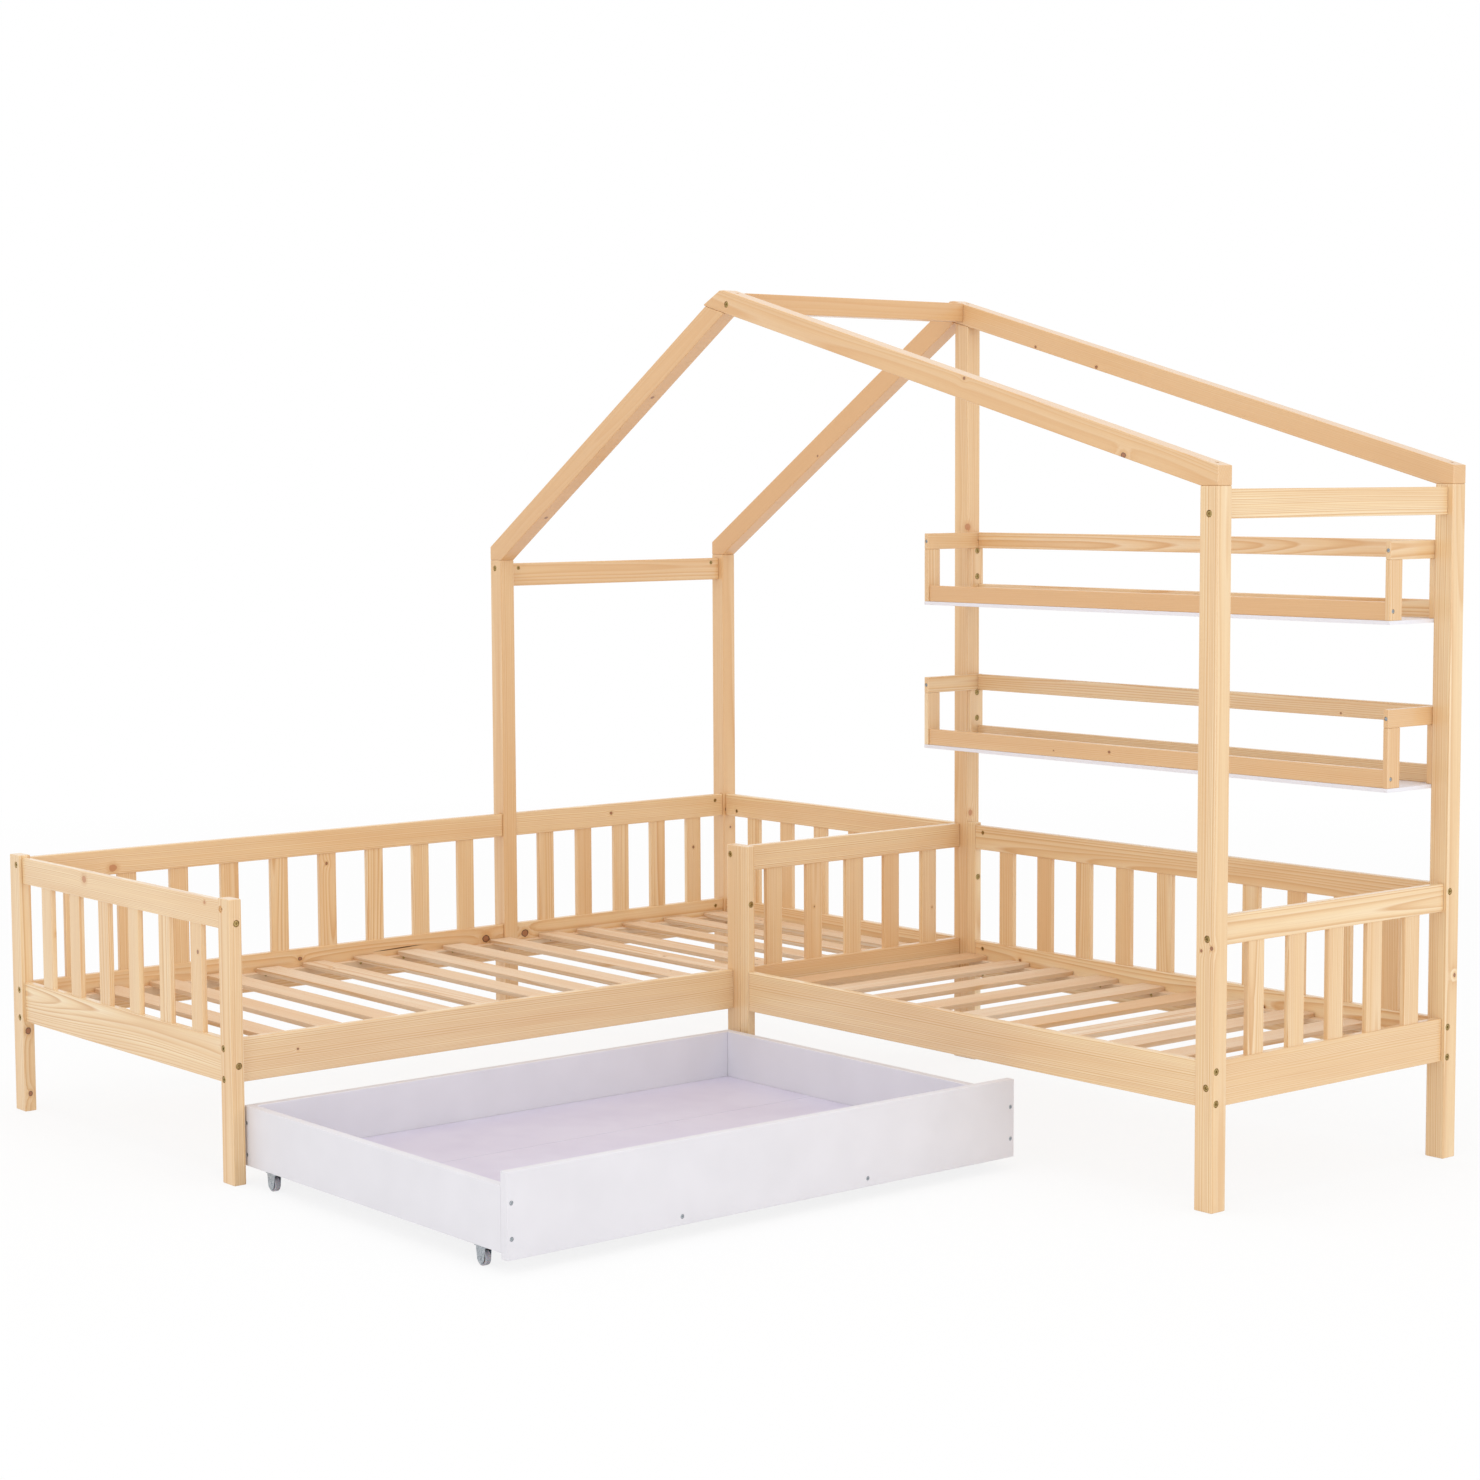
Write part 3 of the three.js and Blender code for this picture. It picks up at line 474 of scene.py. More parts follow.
def rounded_prism(outline: Sequence, span: Span, carried: Axis, radius: float) -> Shell:
    """A convex outline carried straight along an axis, with every edge rounded.

    It is the sum of a smaller prism and a ball: each ring of points stands radius x cos(phi) out from
    the centres of the corner arcs, at radius x sin(phi) past the smaller prism's end.

    Args:
        outline: corners on the two axes that follow the carried one, in order.
        span: where the prism starts and ends on the carried axis.
        carried: the axis it is carried along.
        radius: the rounding of its edges.

    Returns:
        The closed shell.
    """
    steps = 2
    corners = np.asarray(outline, float)
    ahead = np.roll(corners, -1, 0)
    if np.sum(corners[:, 0] * ahead[:, 1] - ahead[:, 0] * corners[:, 1]) < 0:
        corners = corners[::-1]
    side = np.roll(corners, -1, 0) - corners
    side /= np.linalg.norm(side, axis=1, keepdims=True)
    out = np.stack([side[:, 1], -side[:, 0]], 1)
    before = np.roll(out, 1, 0)
    centres = corners - radius * (before + out) / (1 + np.sum(before * out, 1, keepdims=True))
    start = np.arctan2(before[:, 1], before[:, 0])
    turn = np.mod(np.arctan2(out[:, 1], out[:, 0]) - start, 2 * np.pi)
    angle = start[:, None] + turn[:, None] * np.linspace(0, 1, steps + 1)
    arc = np.stack([np.cos(angle), np.sin(angle)], -1)
    quarter = np.linspace(0, np.pi / 2, steps + 1)
    phi = np.concatenate([quarter - np.pi / 2, quarter])
    ends = np.where(np.arange(phi.size) <= steps, span[0] + radius, span[1] - radius)
    flat = centres[None, :, None] + radius * np.cos(phi)[:, None, None, None] * arc[None]
    around = arc.shape[0] * arc.shape[1]
    points = np.empty((phi.size, around, 3))
    points[..., [(carried + 1) % 3, (carried + 2) % 3]] = flat.reshape(phi.size, around, 2)
    points[..., carried] = (ends + radius * np.sin(phi))[:, None]
    return weld(points.reshape(-1, 3), ring_faces(phi.size, around))


def turned(
    profile: Sequence[Span],
    place: np.ndarray,
    toward: np.ndarray,
    sides: int = 24,
    hexagonal: tuple[int, ...] = (),
    flat: float = 0.0,
) -> Shell:
    """A profile turned round an axis.

    A point at radius r and height h goes to place + h x toward + r x (cos t, sin t) on the two
    directions square to the axis. A profile that starts away from the axis closes on itself. In
    hexagonal rows r is flat / cos of the angle to the middle of the nearest flat.

    Args:
        profile: rows of radius and height, from below to above on the outside.
        place: the point of height zero.
        toward: the axis as a unit vector.
        sides: how many steps the turn has.
        hexagonal: the rows that follow a hexagon.
        flat: half the width across the hexagon's flats.

    Returns:
        The closed shell.
    """
    rows = np.asarray(profile, float)
    u = np.cross(unit(Axis.Z if abs(toward[2]) < 0.9 else Axis.X), toward)
    u /= np.linalg.norm(u)
    v = np.cross(toward, u)
    t = np.linspace(0, 2 * np.pi, sides, endpoint=False)
    spoke = np.cos(t)[:, None] * u + np.sin(t)[:, None] * v
    radius = np.repeat(rows[:, :1], sides, 1)
    radius[list(hexagonal)] = flat / np.cos(np.mod(t, np.pi / 3) - np.pi / 6)
    points = place + rows[:, 1, None, None] * toward + radius[..., None] * spoke
    faces = ring_faces(len(rows), sides)
    return weld(points.reshape(-1, 3), faces[:-2] if rows[0, 0] > 0 else faces)


def mesh_object(name: str, points: np.ndarray, faces: list[list[int]]) -> bpy.types.Object:
    """Puts a shell into a new object at the origin.

    Args:
        name: the object's name.
        points: the points.
        faces: the faces.

    Returns:
        The object, linked to the scene.
    """
    mesh = bpy.data.meshes.new(name)
    mesh.from_pydata(points.tolist(), [], faces)
    mesh.validate()
    piece = bpy.data.objects.new(name, mesh)
    bpy.context.scene.collection.objects.link(piece)
    return piece


def joined(shells: Sequence[Shell]) -> Shell:
    """Puts several shells side by side in one list of points and faces.

    Args:
        shells: the shells.

    Returns:
        All points, and all faces with their rows moved on.
    """
    starts = np.cumsum([0, *(len(points) for points, _ in shells)]).tolist()
    faces = [[i + start for i in face] for (_, part), start in zip(shells, starts) for face in part]
    return np.concatenate([points for points, _ in shells]), faces


def bored(shell: Shell, cutters: Sequence[Shell]) -> Shell:
    """Cuts bores out of a shell.

    Args:
        shell: the closed shell of a board.
        cutters: closed shells of what is bored away.

    Returns:
        The shell that is left.
    """
    if not cutters:
        return shell
    board = mesh_object("board_blank", *shell)
    tool = mesh_object("board_cutter", *joined(cutters))
    modifier = board.modifiers.new("bores", "BOOLEAN")
    modifier.operation, modifier.solver, modifier.object = "DIFFERENCE", "EXACT", tool
    made = board.evaluated_get(bpy.context.evaluated_depsgraph_get()).to_mesh()
    points = np.empty(len(made.vertices) * 3)
    made.vertices.foreach_get("co", points)
    faces = [list(p.vertices) for p in made.polygons]
    for thing in (board, tool):
        bpy.data.objects.remove(thing)
    return points.reshape(-1, 3), faces


# Boards and pieces


# How many radii away a board's knots are where it has none.
KNOT_FREE = 99.0
# The corner between both walls on X and Y, in millimetres.
WALL_CORNER = (-1205.5, 1040.0)


@dataclass(frozen=True)
class BoardCut:
    """What the tree gave a board, point by point: grain coordinates, its places seen from two knots in
    knot radii, how reddish it is, and 1 where its knots are live ones."""

    grain: np.ndarray
    knot_one: np.ndarray
    knot_two: np.ndarray
    tone: np.ndarray
    live: np.ndarray


@dataclass
class Piece:
    """A piece of the scene that gathers boards or fittings before it becomes one mesh."""

    name: str
    body: str
    finish: Finish
    node: str = ""
    shells: list[Shell] = field(default_factory=list)
    cuts: list[BoardCut] = field(default_factory=list)

    def add(self, shell: Shell, cut: BoardCut | None = None) -> None:
        """Adds a shell, with what the tree gave it where it is a board.

        Args:
            shell: the closed shell.
            cut: the board's cut, or nothing for a fitting.
        """
        far, none = np.full_like(shell[0], KNOT_FREE), np.zeros(len(shell[0]))
        self.shells.append(shell)
        self.cuts.append(cut or BoardCut(shell[0], far, far, none, none))

    def make(self) -> None:
        """Makes the mesh, writes its attributes and lets it ride on its body."""
        points, faces = joined(self.shells)
        made = mesh_object(self.name, points, faces)
        for part in fields(BoardCut):
            rows = np.concatenate([getattr(cut, part.name) for cut in self.cuts]).astype(np.float32)
            kind, key = ("FLOAT_VECTOR", "vector") if rows.ndim == 2 else ("FLOAT", "value")
            layer = made.data.attributes.new(part.name, kind, "POINT")
            layer.data.foreach_set(key, rows.reshape(-1))
        made.data.materials.append(self.finish.material())
        if self.node:
            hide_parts(self.node)
        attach(made, self.body)
        log.info("%s: %d shells, %d points", self.name, len(self.shells), len(points))


def on_bed(x: float, y: float, z: float) -> np.ndarray:
    """A place given in millimetres from the corner between both walls, in the part's frame."""
    return np.array([x + WALL_CORNER[0], y + WALL_CORNER[1], z]) * MILLIMETRE


@dataclass(frozen=True)
class Knot:
    """A knot seen on the bed: its place and radius in millimetres, and whether it is a live one."""

    x: float
    y: float
    z: float
    radius: float
    live: bool = False


KNOTS = {
    "foot_post_left_timber": [Knot(46, -2068, 184, 6.5), Knot(46, -2066, 40, 5.0)],
    "middle_post_timber": [Knot(983, -29, 605, 6.0), Knot(981, -38, 1299, 7.0, live=True)],
    "foot_guard_boards": [Knot(346, -2073, 560, 7.5, live=True), Knot(872, -2073, 566, 3.5)],
    "end_post_back_timber": [Knot(2411, -10, 384, 3.5)],
    "front_right_rafter_timber": [Knot(2167, -757, 1460, 5.5), Knot(1719, -757, 1622, 3.0)],
    "front_left_rafter_timber": [Knot(652, -742, 1608, 4.0), Knot(211, -735, 1324, 4.0)],
    "back_right_rafter_timber": [Knot(1407, -40, 1669, 3.5), Knot(1211, -40, 1722, 3.0)],
    "wall_guard_long_boards": [
        Knot(40, -1845, 534, 8.0, live=True),
        Knot(40, -1354, 271, 4.5),
        Knot(40, -812, 264, 9.0),
    ],
    "wall_guard_short_boards": [Knot(40, -692, 266, 9.0)],
    "divider_guard_boards": [Knot(952, -130, 379, 3.0)],
    "head_guard_boards": [Knot(195, -31, 330, 2.5)],
    "wall_post_back_timber": [Knot(45, -29, 535, 6.0), Knot(45, -18, 486, 2.5)],
    "back_guard_boards": [Knot(1166, -39, 265, 3.0), Knot(1924, -39, 254, 3.0)],
}
# How reddish the boards are that stand out, from 0 for honey to about 1.4. The two low front rails get the
# palest honey as painted light, to lift them out of the shade they lie in.
TONES_AND_PAINTED_LIGHT = {
    "lower_shelf_right_end_boards": 0.95,
    "upper_shelf_right_end_boards": 0.45,
    "upper_shelf_front_low_rail_board": 1.2,
    "lower_shelf_front_low_rail_board": 0.75,
    "upper_shelf_back_top_rail_board": 0.5,
    "upper_shelf_left_end_boards": 0.45,
    "lower_shelf_left_end_boards": 0.2,
    "back_left_rafter_timber": 1.4,
    "back_right_rafter_timber": 0.95,
    "ridge_beam_timber": 1.15,
    "left_eave_beam_timber": 0.6,
    "right_eave_beam_timber": 0.0,
    "front_left_rafter_timber": 1.15,
    "front_right_rafter_timber": 0.85,
    # Painted light: the palest honey lifts these two low rails out of their shade.
    "side_bed_front_rail_timber": 0.05,
    "long_bed_front_rail_timber": 0.0,
    "wall_post_back_timber": 0.8,
    "wall_post_front_timber": 0.6,
    "middle_post_timber": 0.35,
}


@dataclass
class Woodyard:
    """Hands out boards, each from its own place in the tree, so that no two show the same figure.

    Most boards are cut at the side of the pith, so that their rings show as straight lines, and nearly
    every second one over it. A seen knot may lie outside its board by the slack. A board without one
    has up to two small ones by chance.
    """

    seed: int = 7
    beside_pith: Span = (0.05, 0.12)
    over_pith: Span = (0.0, 0.03)
    over_share: float = 0.45
    over_depth: float = 0.6
    trunk: Span = (0.0, 40.0)
    knot_radius: Span = (0.0015, 0.0036)
    knot_spread: float = 0.85
    knot_chance: float = 0.9
    knot_width: float = 0.3
    tone_shape: Span = (1.3, 4.5)
    slack: float = 0.004

    def __post_init__(self) -> None:
        """Starts the seeded choice of places."""
        self.random = np.random.default_rng(self.seed)

    def cut(self, name: str, points: np.ndarray, along: np.ndarray, through: np.ndarray) -> BoardCut:
        """Cuts a board from a random place in the tree.

        Args:
            name: the piece that the board belongs to.
            points: the board's points.
            along: the direction of the grain.
            through: the direction through its thickness.

        Returns:
            The board's grain coordinates, knots and tone.
        """
        random = self.random
        turn = np.stack([along, np.cross(through, along), through])
        low, high = points.min(0), points.max(0)
        middle = (low + high) / 2
        local = (points - middle) @ turn.T
        half = np.abs(local).max(0)
        side, over = random.uniform(*self.beside_pith), random.uniform(*self.over_pith)
        if random.random() < self.over_share:
            side, over = over, side * self.over_depth
        sign = random.choice([-1, 1], 2)
        pith = np.array([random.uniform(*self.trunk), side * sign[0], over * sign[1]])
        chances = random.random(2)
        spots = random.uniform(-self.knot_spread, self.knot_spread, (2, 3)) * half
        spots[:, 2] = half[2] * random.choice([-1, 1], 2)
        radii = np.minimum(random.uniform(*self.knot_radius, 2), half[1] * self.knot_width)
        usual_tone = random.beta(*self.tone_shape)
        found, live = [], 0.0
        for knot in KNOTS.get(name, ()):
            place = on_bed(knot.x, knot.y, knot.z)
            if np.all(place > low - self.slack) and np.all(place < high + self.slack):
                found.append(((place - middle) @ turn.T, knot.radius * MILLIMETRE))
                live = max(live, float(knot.live))
        if not found:
            by_chance = chances < half[0] * self.knot_chance
            found = list(zip(spots[by_chance], radii[by_chance]))
        views = [(local - spot) / radius for spot, radius in found]
        views += [np.full_like(local, KNOT_FREE)] * (2 - len(views))
        rest = [np.full(len(points), value) for value in (TONES_AND_PAINTED_LIGHT.get(name, usual_tone), live)]
        return BoardCut(local + pith, *views, *rest)


YARD = Woodyard()


def node_span(node: str) -> Box:
    """Lowest and highest corner of a node as arrays."""
    low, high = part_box(node)
    return np.array(low), np.array(high)


def near_face(node: str, axis: Axis, sign: float) -> float:
    """Where a node begins for something that comes along an axis, upwards for sign 1."""
    low, high = node_span(node)
    return low[axis] if sign > 0 else high[axis]


def block(run: Axis, along: Span, across: Span, height: Span) -> Box:
    """Lowest and highest corner of a block that is measured along X or Y, across that, and upwards."""
    low, high = np.array([along, across, height] if run is Axis.X else [across, along, height]).T
    return low, high


def add_board(
    piece: Piece,
    low: np.ndarray,
    high: np.ndarray,
    grain: Axis,
    rounding: float,
    cutters: Sequence[Shell] = (),
) -> None:
    """Adds a rectangular board to a piece.

    Args:
        piece: the piece that gets the board.
        low: its lowest corner.
        high: its highest corner.
        grain: the axis that its grain follows.
        rounding: the rounding of its edges.
        cutters: what is bored out of it.
    """
    a, b = (grain + 1) % 3, (grain + 2) % 3
    corners = [[low[a], low[b]], [high[a], low[b]], [high[a], high[b]], [low[a], high[b]]]
    shell = bored(rounded_prism(corners, (low[grain], high[grain]), grain, rounding), cutters)
    thin = min((axis for axis in Axis if axis is not grain), key=lambda axis: (high - low)[axis])
    piece.add(shell, YARD.cut(piece.name, shell[0], unit(grain), unit(thin)))


# Bolts, screws and their counterbores


@dataclass(frozen=True)
class FastenerKind:
    """Radii and heights of a bolt or a screw, and how deep its head is sunk.

    The dome starts at a share of the head's radius, the crown, and falls off over shares of its height.
    """

    head: float
    head_height: float
    socket: float
    socket_depth: float
    shank: float
    shank_length: float
    sink: float
    crown: float = 0.8
    dome: Span = (0.15, 0.4)
    play: float = 0.0003
    above: float = 0.008

    def body(self, place: np.ndarray, toward: np.ndarray) -> Shell:
        """The fastener: a head, domed or flat, with a hexagon socket, and the near end of its shank.

        Args:
            place: where its axis meets the face of the wood.
            toward: the direction that it is driven in.

        Returns:
            The closed shell.
        """
        top, under = self.sink, self.sink + self.head_height
        crown, end = self.head * self.crown, under + self.shank_length
        shoulder, edge = (top + self.head_height * share for share in self.dome)
        rows = [
            (0.0, top + self.socket_depth),
            (self.socket, top + self.socket_depth),
            (self.socket, top),
            (crown, top),
            ((self.head + 3 * crown) / 4, shoulder),
            (self.head, edge),
            (self.head, under),
            (self.shank, under),
            (self.shank, end),
            (0.0, end),
        ]
        return turned(rows, place, toward, hexagonal=(1, 2), flat=self.socket)

    def bore(self, place: np.ndarray, toward: np.ndarray, depth: float) -> Shell:
        """What is drilled away: the counterbore, and the hole for the shank.

        Args:
            place: where its axis meets the face of the wood.
            toward: the direction that it is drilled in.
            depth: how deep it goes at least.

        Returns:
            The closed shell, which starts well outside the wood.
        """
        head, shank = self.head + self.play, self.shank + self.play
        floor = self.sink + self.head_height + self.play
        end = max(depth, floor + self.shank_length + self.play)
        start = -self.above
        rows = [(0.0, start), (head, start), (head, floor), (shank, floor), (shank, end), (0.0, end)]
        return turned(rows, place, toward)


BOLT = FastenerKind(0.007, 0.0025, 0.0026, 0.0018, 0.003, 0.008, sink=0.0006)
SCREW = FastenerKind(0.0042, 0.0016, 0.0015, 0.001, 0.0019, 0.005, sink=0.0005)
LEDGER_SCREW = FastenerKind(0.0038, 0.0016, 0.0015, 0.001, 0.0019, 0.005, sink=0.0008)
BARREL_NUT = FastenerKind(0.0048, 0.004, 0.0018, 0.0025, 0.0045, 0.004, sink=0.0015, crown=0.92)


@dataclass
class Fastener:
    """A bolt or screw in its place, with the node whose face it is driven through."""

    kind: FastenerKind
    place: np.ndarray
    toward: np.ndarray
    node: str
    body: str = "frame"
    empty: bool = False
    depth: float = 0.0


# Each guard's direction and its number of pickets.
GUARDS = {
    "foot_guard": (Axis.X, 6),
    "wall_guard_long": (Axis.Y, 9),
    "wall_guard_short": (Axis.Y, 5),
    "head_guard": (Axis.X, 6),
    "divider_guard": (Axis.Y, 5),
    "back_guard": (Axis.X, 10),
    "end_guard": (Axis.Y, 5),
}
# The face of each rail that is towards the bed, on which its barrel nuts open.
INNER_FACES = {
    "foot_guard": (Axis.Y, 1.0),
    "wall_guard_long": (Axis.X, 1.0),
    "wall_guard_short": (Axis.X, 1.0),
    "head_guard": (Axis.Y, -1.0),
    "divider_guard": (Axis.X, -1.0),
    "back_guard": (Axis.Y, -1.0),
    "end_guard": (Axis.X, -1.0),
    "long_bed_front_rail": (Axis.X, -1.0),
    "side_bed_front_rail": (Axis.Y, 1.0),
    "left_eave_beam": (Axis.X, 1.0),
    "right_eave_beam": (Axis.X, -1.0),
    "ridge_beam": (Axis.X, -1.0),
}
# Where the screws of the ledgers are seen: Y on the long bed and X on the side bed, in millimetres.
LEDGER_SCREWS = {
    "long_bed_slats_front": (-1460.0, -1195.0, -1071.0, -926.0),
    "long_bed_slats_back": (-625.0, -494.0),
    "side_bed_slats": (1448.0, 1608.0),
}
# How far the middles of the battens under the drawer lie from the ends of its front.
DRAWER_BATTENS = (0.399, 0.403)


@dataclass
class FastenerPlan:
    """Where every bolt and screw goes, worked out from the pieces that it joins."""

    batten_height: float = 0.45
    ridge_rise: float = 0.018
    left_eave_rise: float = 0.045
    right_eave_rise: float = 0.010
    roof_inset: float = 0.021
    shelf_drops: Span = (0.044, 0.106)
    drawer_front_rises: Span = (0.094, 0.028)
    drawer_back_rises: Span = (0.088, 0.023)
    drawer_back_inset: float = 0.011
    drawer_batten_rise: float = 0.006
    nut_inset: float = 0.026
    head_nut_inset: float = 0.046
    ledger_inset: float = 0.020
    long_ledger_drop: float = 0.016
    side_ledger_drop: float = 0.021
    spare_bore: float = 0.040
    rafter_bore: float = 0.025
    items: list[Fastener] = field(default_factory=list)

    def __post_init__(self) -> None:
        """Lists every fastener."""
        self._guards()
        self._ledgers()
        self._roof()
        self._shelves()
        self._drawer()
        log.info("fasteners: %d", len(self.items))

    def bores(self, node: str) -> list[Shell]:
        """Cutters for one node."""
        found = [item for item in self.items if item.node == node]
        return [item.kind.bore(item.place, item.toward, item.depth) for item in found]

    def build(self) -> None:
        """Makes one piece of each kind of fastener."""
        sets = {
            "frame_bolts": ("frame", BOLT, Finish.YELLOW_ZINC),
            "frame_screws": ("frame", SCREW, Finish.ZINC),
            "frame_barrel_nuts": ("frame", BARREL_NUT, Finish.YELLOW_ZINC),
            "ledger_screws": ("frame", LEDGER_SCREW, Finish.YELLOW_ZINC),
            "drawer_screws": ("drawer", SCREW, Finish.ZINC),
        }
        for name, (body, kind, finish) in sets.items():
            piece = Piece(name, body, finish)
            for item in self.items:
                if item.body == body and item.kind is kind and not item.empty:
                    piece.add(kind.body(item.place, item.toward))
            piece.make()

    def _drive(
        self, kind: FastenerKind, place: Sequence, axis: Axis, sign: float, node: str, **more: float | str
    ) -> None:
        """Adds one fastener to the plan."""
        self.items.append(Fastener(kind, np.array(place), unit(axis, sign), node, **more))

    def _barrel_nuts(self, rail: str, axis: Axis, sign: float, heights: list[float]) -> None:
        """Barrel nuts across the bolts, sunk into the rail's inner face near its end.

        Args:
            rail: the node that holds them.
            axis: the axis that the bolts follow.
            sign: 1 where the bolts are driven towards larger values.
            heights: the bolts' heights.
        """
        inward, side = INNER_FACES[rail]
        inset = self.head_nut_inset if rail == "head_guard" else self.nut_inset
        place = np.zeros(3)
        place[axis] = near_face(rail, axis, sign) + sign * inset
        place[inward] = near_face(rail, inward, -side)
        for height in heights:
            place[Axis.Z] = height
            self._drive(BARREL_NUT, place, inward, -side, rail)

    def _guards(self) -> None:
        """Bolts of the guards, the front rails and the battens."""
        joints = [
            ("foot_post_left", "foot_guard", Axis.X, 1, Run.CROSS),
            ("foot_post_right", "foot_guard", Axis.X, -1, Run.CROSS),
            ("foot_post_left", "wall_guard_long", Axis.Y, 1, Run.LONG),
            ("wall_post_back", "wall_guard_short", Axis.Y, -1, Run.LONG),
            ("wall_post_back", "head_guard", Axis.X, 1, Run.CROSS),
            ("middle_post", "head_guard", Axis.X, -1, Run.CROSS),
            ("middle_post", "divider_guard", Axis.Y, -1, Run.LONG),
            ("side_bed_batten_back", "back_guard", Axis.X, 1, Run.LONG),
            ("end_post_back", "back_guard", Axis.X, -1, Run.LONG),
            ("end_post_front", "end_guard", Axis.Y, 1, Run.CROSS),
            ("end_post_back", "end_guard", Axis.Y, -1, Run.CROSS),
            ("foot_post_right", "long_bed_front_rail", Axis.Y, 1, Run.LONG),
            ("inner_post", "divider_guard", Axis.Y, 1, Run.LONG),
            ("side_bed_batten_front", "side_bed_front_rail", Axis.X, 1, Run.LONG),
            ("end_post_front", "side_bed_front_rail", Axis.X, -1, Run.LONG),
        ]
        for post, rail, axis, sign, run in joints:
            low, high = node_span(rail)
            drop, rises = run.value
            heights = [high[2] - drop] if rail in GUARDS else []
            # Down on the inner post, rails on both sides hide a plain stud.
            if post != "inner_post":
                heights += [low[2] + rise for rise in rises]
            for height in heights:
                place = (low + high) / 2
                place[Axis.Z], place[axis] = height, near_face(post, axis, sign)
                self._drive(BOLT, place, axis, sign, post)
            self._barrel_nuts(rail, axis, sign, heights)
        for batten in ("side_bed_batten_front", "side_bed_batten_back"):
            low, high = node_span(batten)
            place = [high[0], (low[1] + high[1]) / 2, self.batten_height]
            self._drive(BOLT, place, Axis.X, -1, batten)
        # The right foot post has one more bore, above the front rail, that stays empty.
        low, high = node_span("long_bed_front_rail")
        height = node_span("foot_guard")[1][2] - Run.LONG.value[0]
        place = [(low[0] + high[0]) / 2, near_face("foot_post_right", Axis.Y, 1), height]
        self._drive(BOLT, place, Axis.Y, 1, "foot_post_right", empty=True, depth=self.spare_bore)

    def _ledgers(self) -> None:
        """Screws through the ledgers against the walls, where they are seen."""
        for node, places in LEDGER_SCREWS.items():
            low, high = node_span(node)
            for value in places:
                x, y, _ = on_bed(value, value, 0.0)
                if node == "side_bed_slats":
                    place = [x, high[1] - self.ledger_inset, high[2] - self.side_ledger_drop]
                    self._drive(LEDGER_SCREW, place, Axis.Y, 1, node)
                else:
                    place = [low[0] + self.ledger_inset, y, high[2] - self.long_ledger_drop]
                    self._drive(LEDGER_SCREW, place, Axis.X, -1, node)

    def _roof(self) -> None:
        """Bolts of the ridge and eave beams, and upright screws of the rafters."""
        roof, head = Roof(), SCREW.head
        post_low, post_high = node_span("middle_post")
        post_x = (post_low[0] + post_high[0]) / 2
        left_x, right_x = roof.left_x + self.roof_inset, roof.right_x - self.roof_inset
        for gable, sign in (("front", 1.0), ("back", -1.0)):
            rafter = f"{gable}_right_rafter"
            low, high = node_span(rafter)
            middle, face = (low[1] + high[1]) / 2, near_face(rafter, Axis.Y, sign)
            beams = [
                ("ridge_beam", rafter, self.ridge_rise),
                ("left_eave_beam", f"wall_post_{gable}", self.left_eave_rise),
                ("right_eave_beam", f"end_post_{gable}", self.right_eave_rise),
            ]
            for beam, node, rise in beams:
                low, high = node_span(beam)
                self._drive(BOLT, [(low[0] + high[0]) / 2, face, low[2] + rise], Axis.Y, sign, node)
                self._barrel_nuts(beam, Axis.Y, sign, [low[2] + rise])
            # A screw starts at its head's lower edge on the slope, so that all of the head is in the wood.
            place = [left_x, middle, roof.left.over(left_x - head)]
            self._drive(SCREW, place, Axis.Z, -1, f"{gable}_left_rafter")
            self._drive(SCREW, [right_x, middle, roof.right.over(right_x + head)], Axis.Z, -1, rafter)
            # The front rafter's bore over the middle post is an empty one.
            place = [post_x, middle, roof.right.over(post_x + head)]
            more = {"empty": True, "depth": self.rafter_bore} if gable == "front" else {}
            self._drive(SCREW, place, Axis.Z, -1, rafter, **more)

    def _shelves(self) -> None:
        """Bolts of the shelf ends into the posts, and the screws of their boards."""
        for shelf in ("upper", "lower"):
            for side, sign in (("left", 1.0), ("right", -1.0)):
                node = f"{shelf}_shelf_{side}_end"
                low, high = node_span(node)
                for drop in self.shelf_drops:
                    place = [near_face(node, Axis.X, -sign), high[1] - Shelf.stile_width / 2, high[2] - drop]
                    self._drive(BOLT, place, Axis.X, -sign, node)
                for rail in Shelf.rails:
                    rail_low, rail_high = node_span(f"{shelf}_shelf_{rail}")
                    place = (rail_low + rail_high) / 2
                    place[0] = near_face(node, Axis.X, sign)
                    self._drive(SCREW, place, Axis.X, sign, node)
                place = [(low[0] + high[0]) / 2, low[1], high[2] - Shelf.rail_height / 2]
                self._drive(SCREW, place, Axis.Y, 1, node)

    def _drawer(self) -> None:
        """Screws of the drawer's front and back corners and of its battens."""
        low, high = node_span("drawer_front")
        base = node_span("drawer_left_side")[0][2]
        for node, sign in (("drawer_left_side", 1.0), ("drawer_right_side", -1.0)):
            side_low, side_high = node_span(node)
            middle = (side_low[1] + side_high[1]) / 2
            for rise in self.drawer_front_rises:
                self._drive(SCREW, [high[0], middle, base + rise], Axis.X, -1, "drawer_front", body="drawer")
            for rise in self.drawer_back_rises:
                place = [side_low[0] + self.drawer_back_inset, near_face(node, Axis.Y, sign), base + rise]
                self._drive(SCREW, place, Axis.Y, sign, node, body="drawer")
        for y in (low[1] + DRAWER_BATTENS[0], high[1] - DRAWER_BATTENS[1]):
            place = [high[0], y, base + self.drawer_batten_rise]
            self._drive(SCREW, place, Axis.X, -1, "drawer_front", body="drawer")


# The bed's sub-assemblies


def lone_board(
    node: str,
    kind: str,
    finish: Finish,
    grain: Axis,
    rounding: float,
    plan: FastenerPlan,
    body: str = "frame",
) -> None:
    """Makes a piece of one board that stands for its node.

    Args:
        node: the node.
        kind: the last word of the piece's name.
        finish: its finish.
        grain: the axis that its grain follows.
        rounding: the rounding of its edges.
        plan: where the bores are.
        body: the body that it rides on.
    """
    piece = Piece(f"{node}_{kind}", body, finish, node)
    add_board(piece, *node_span(node), grain, rounding, plan.bores(node))
    piece.make()


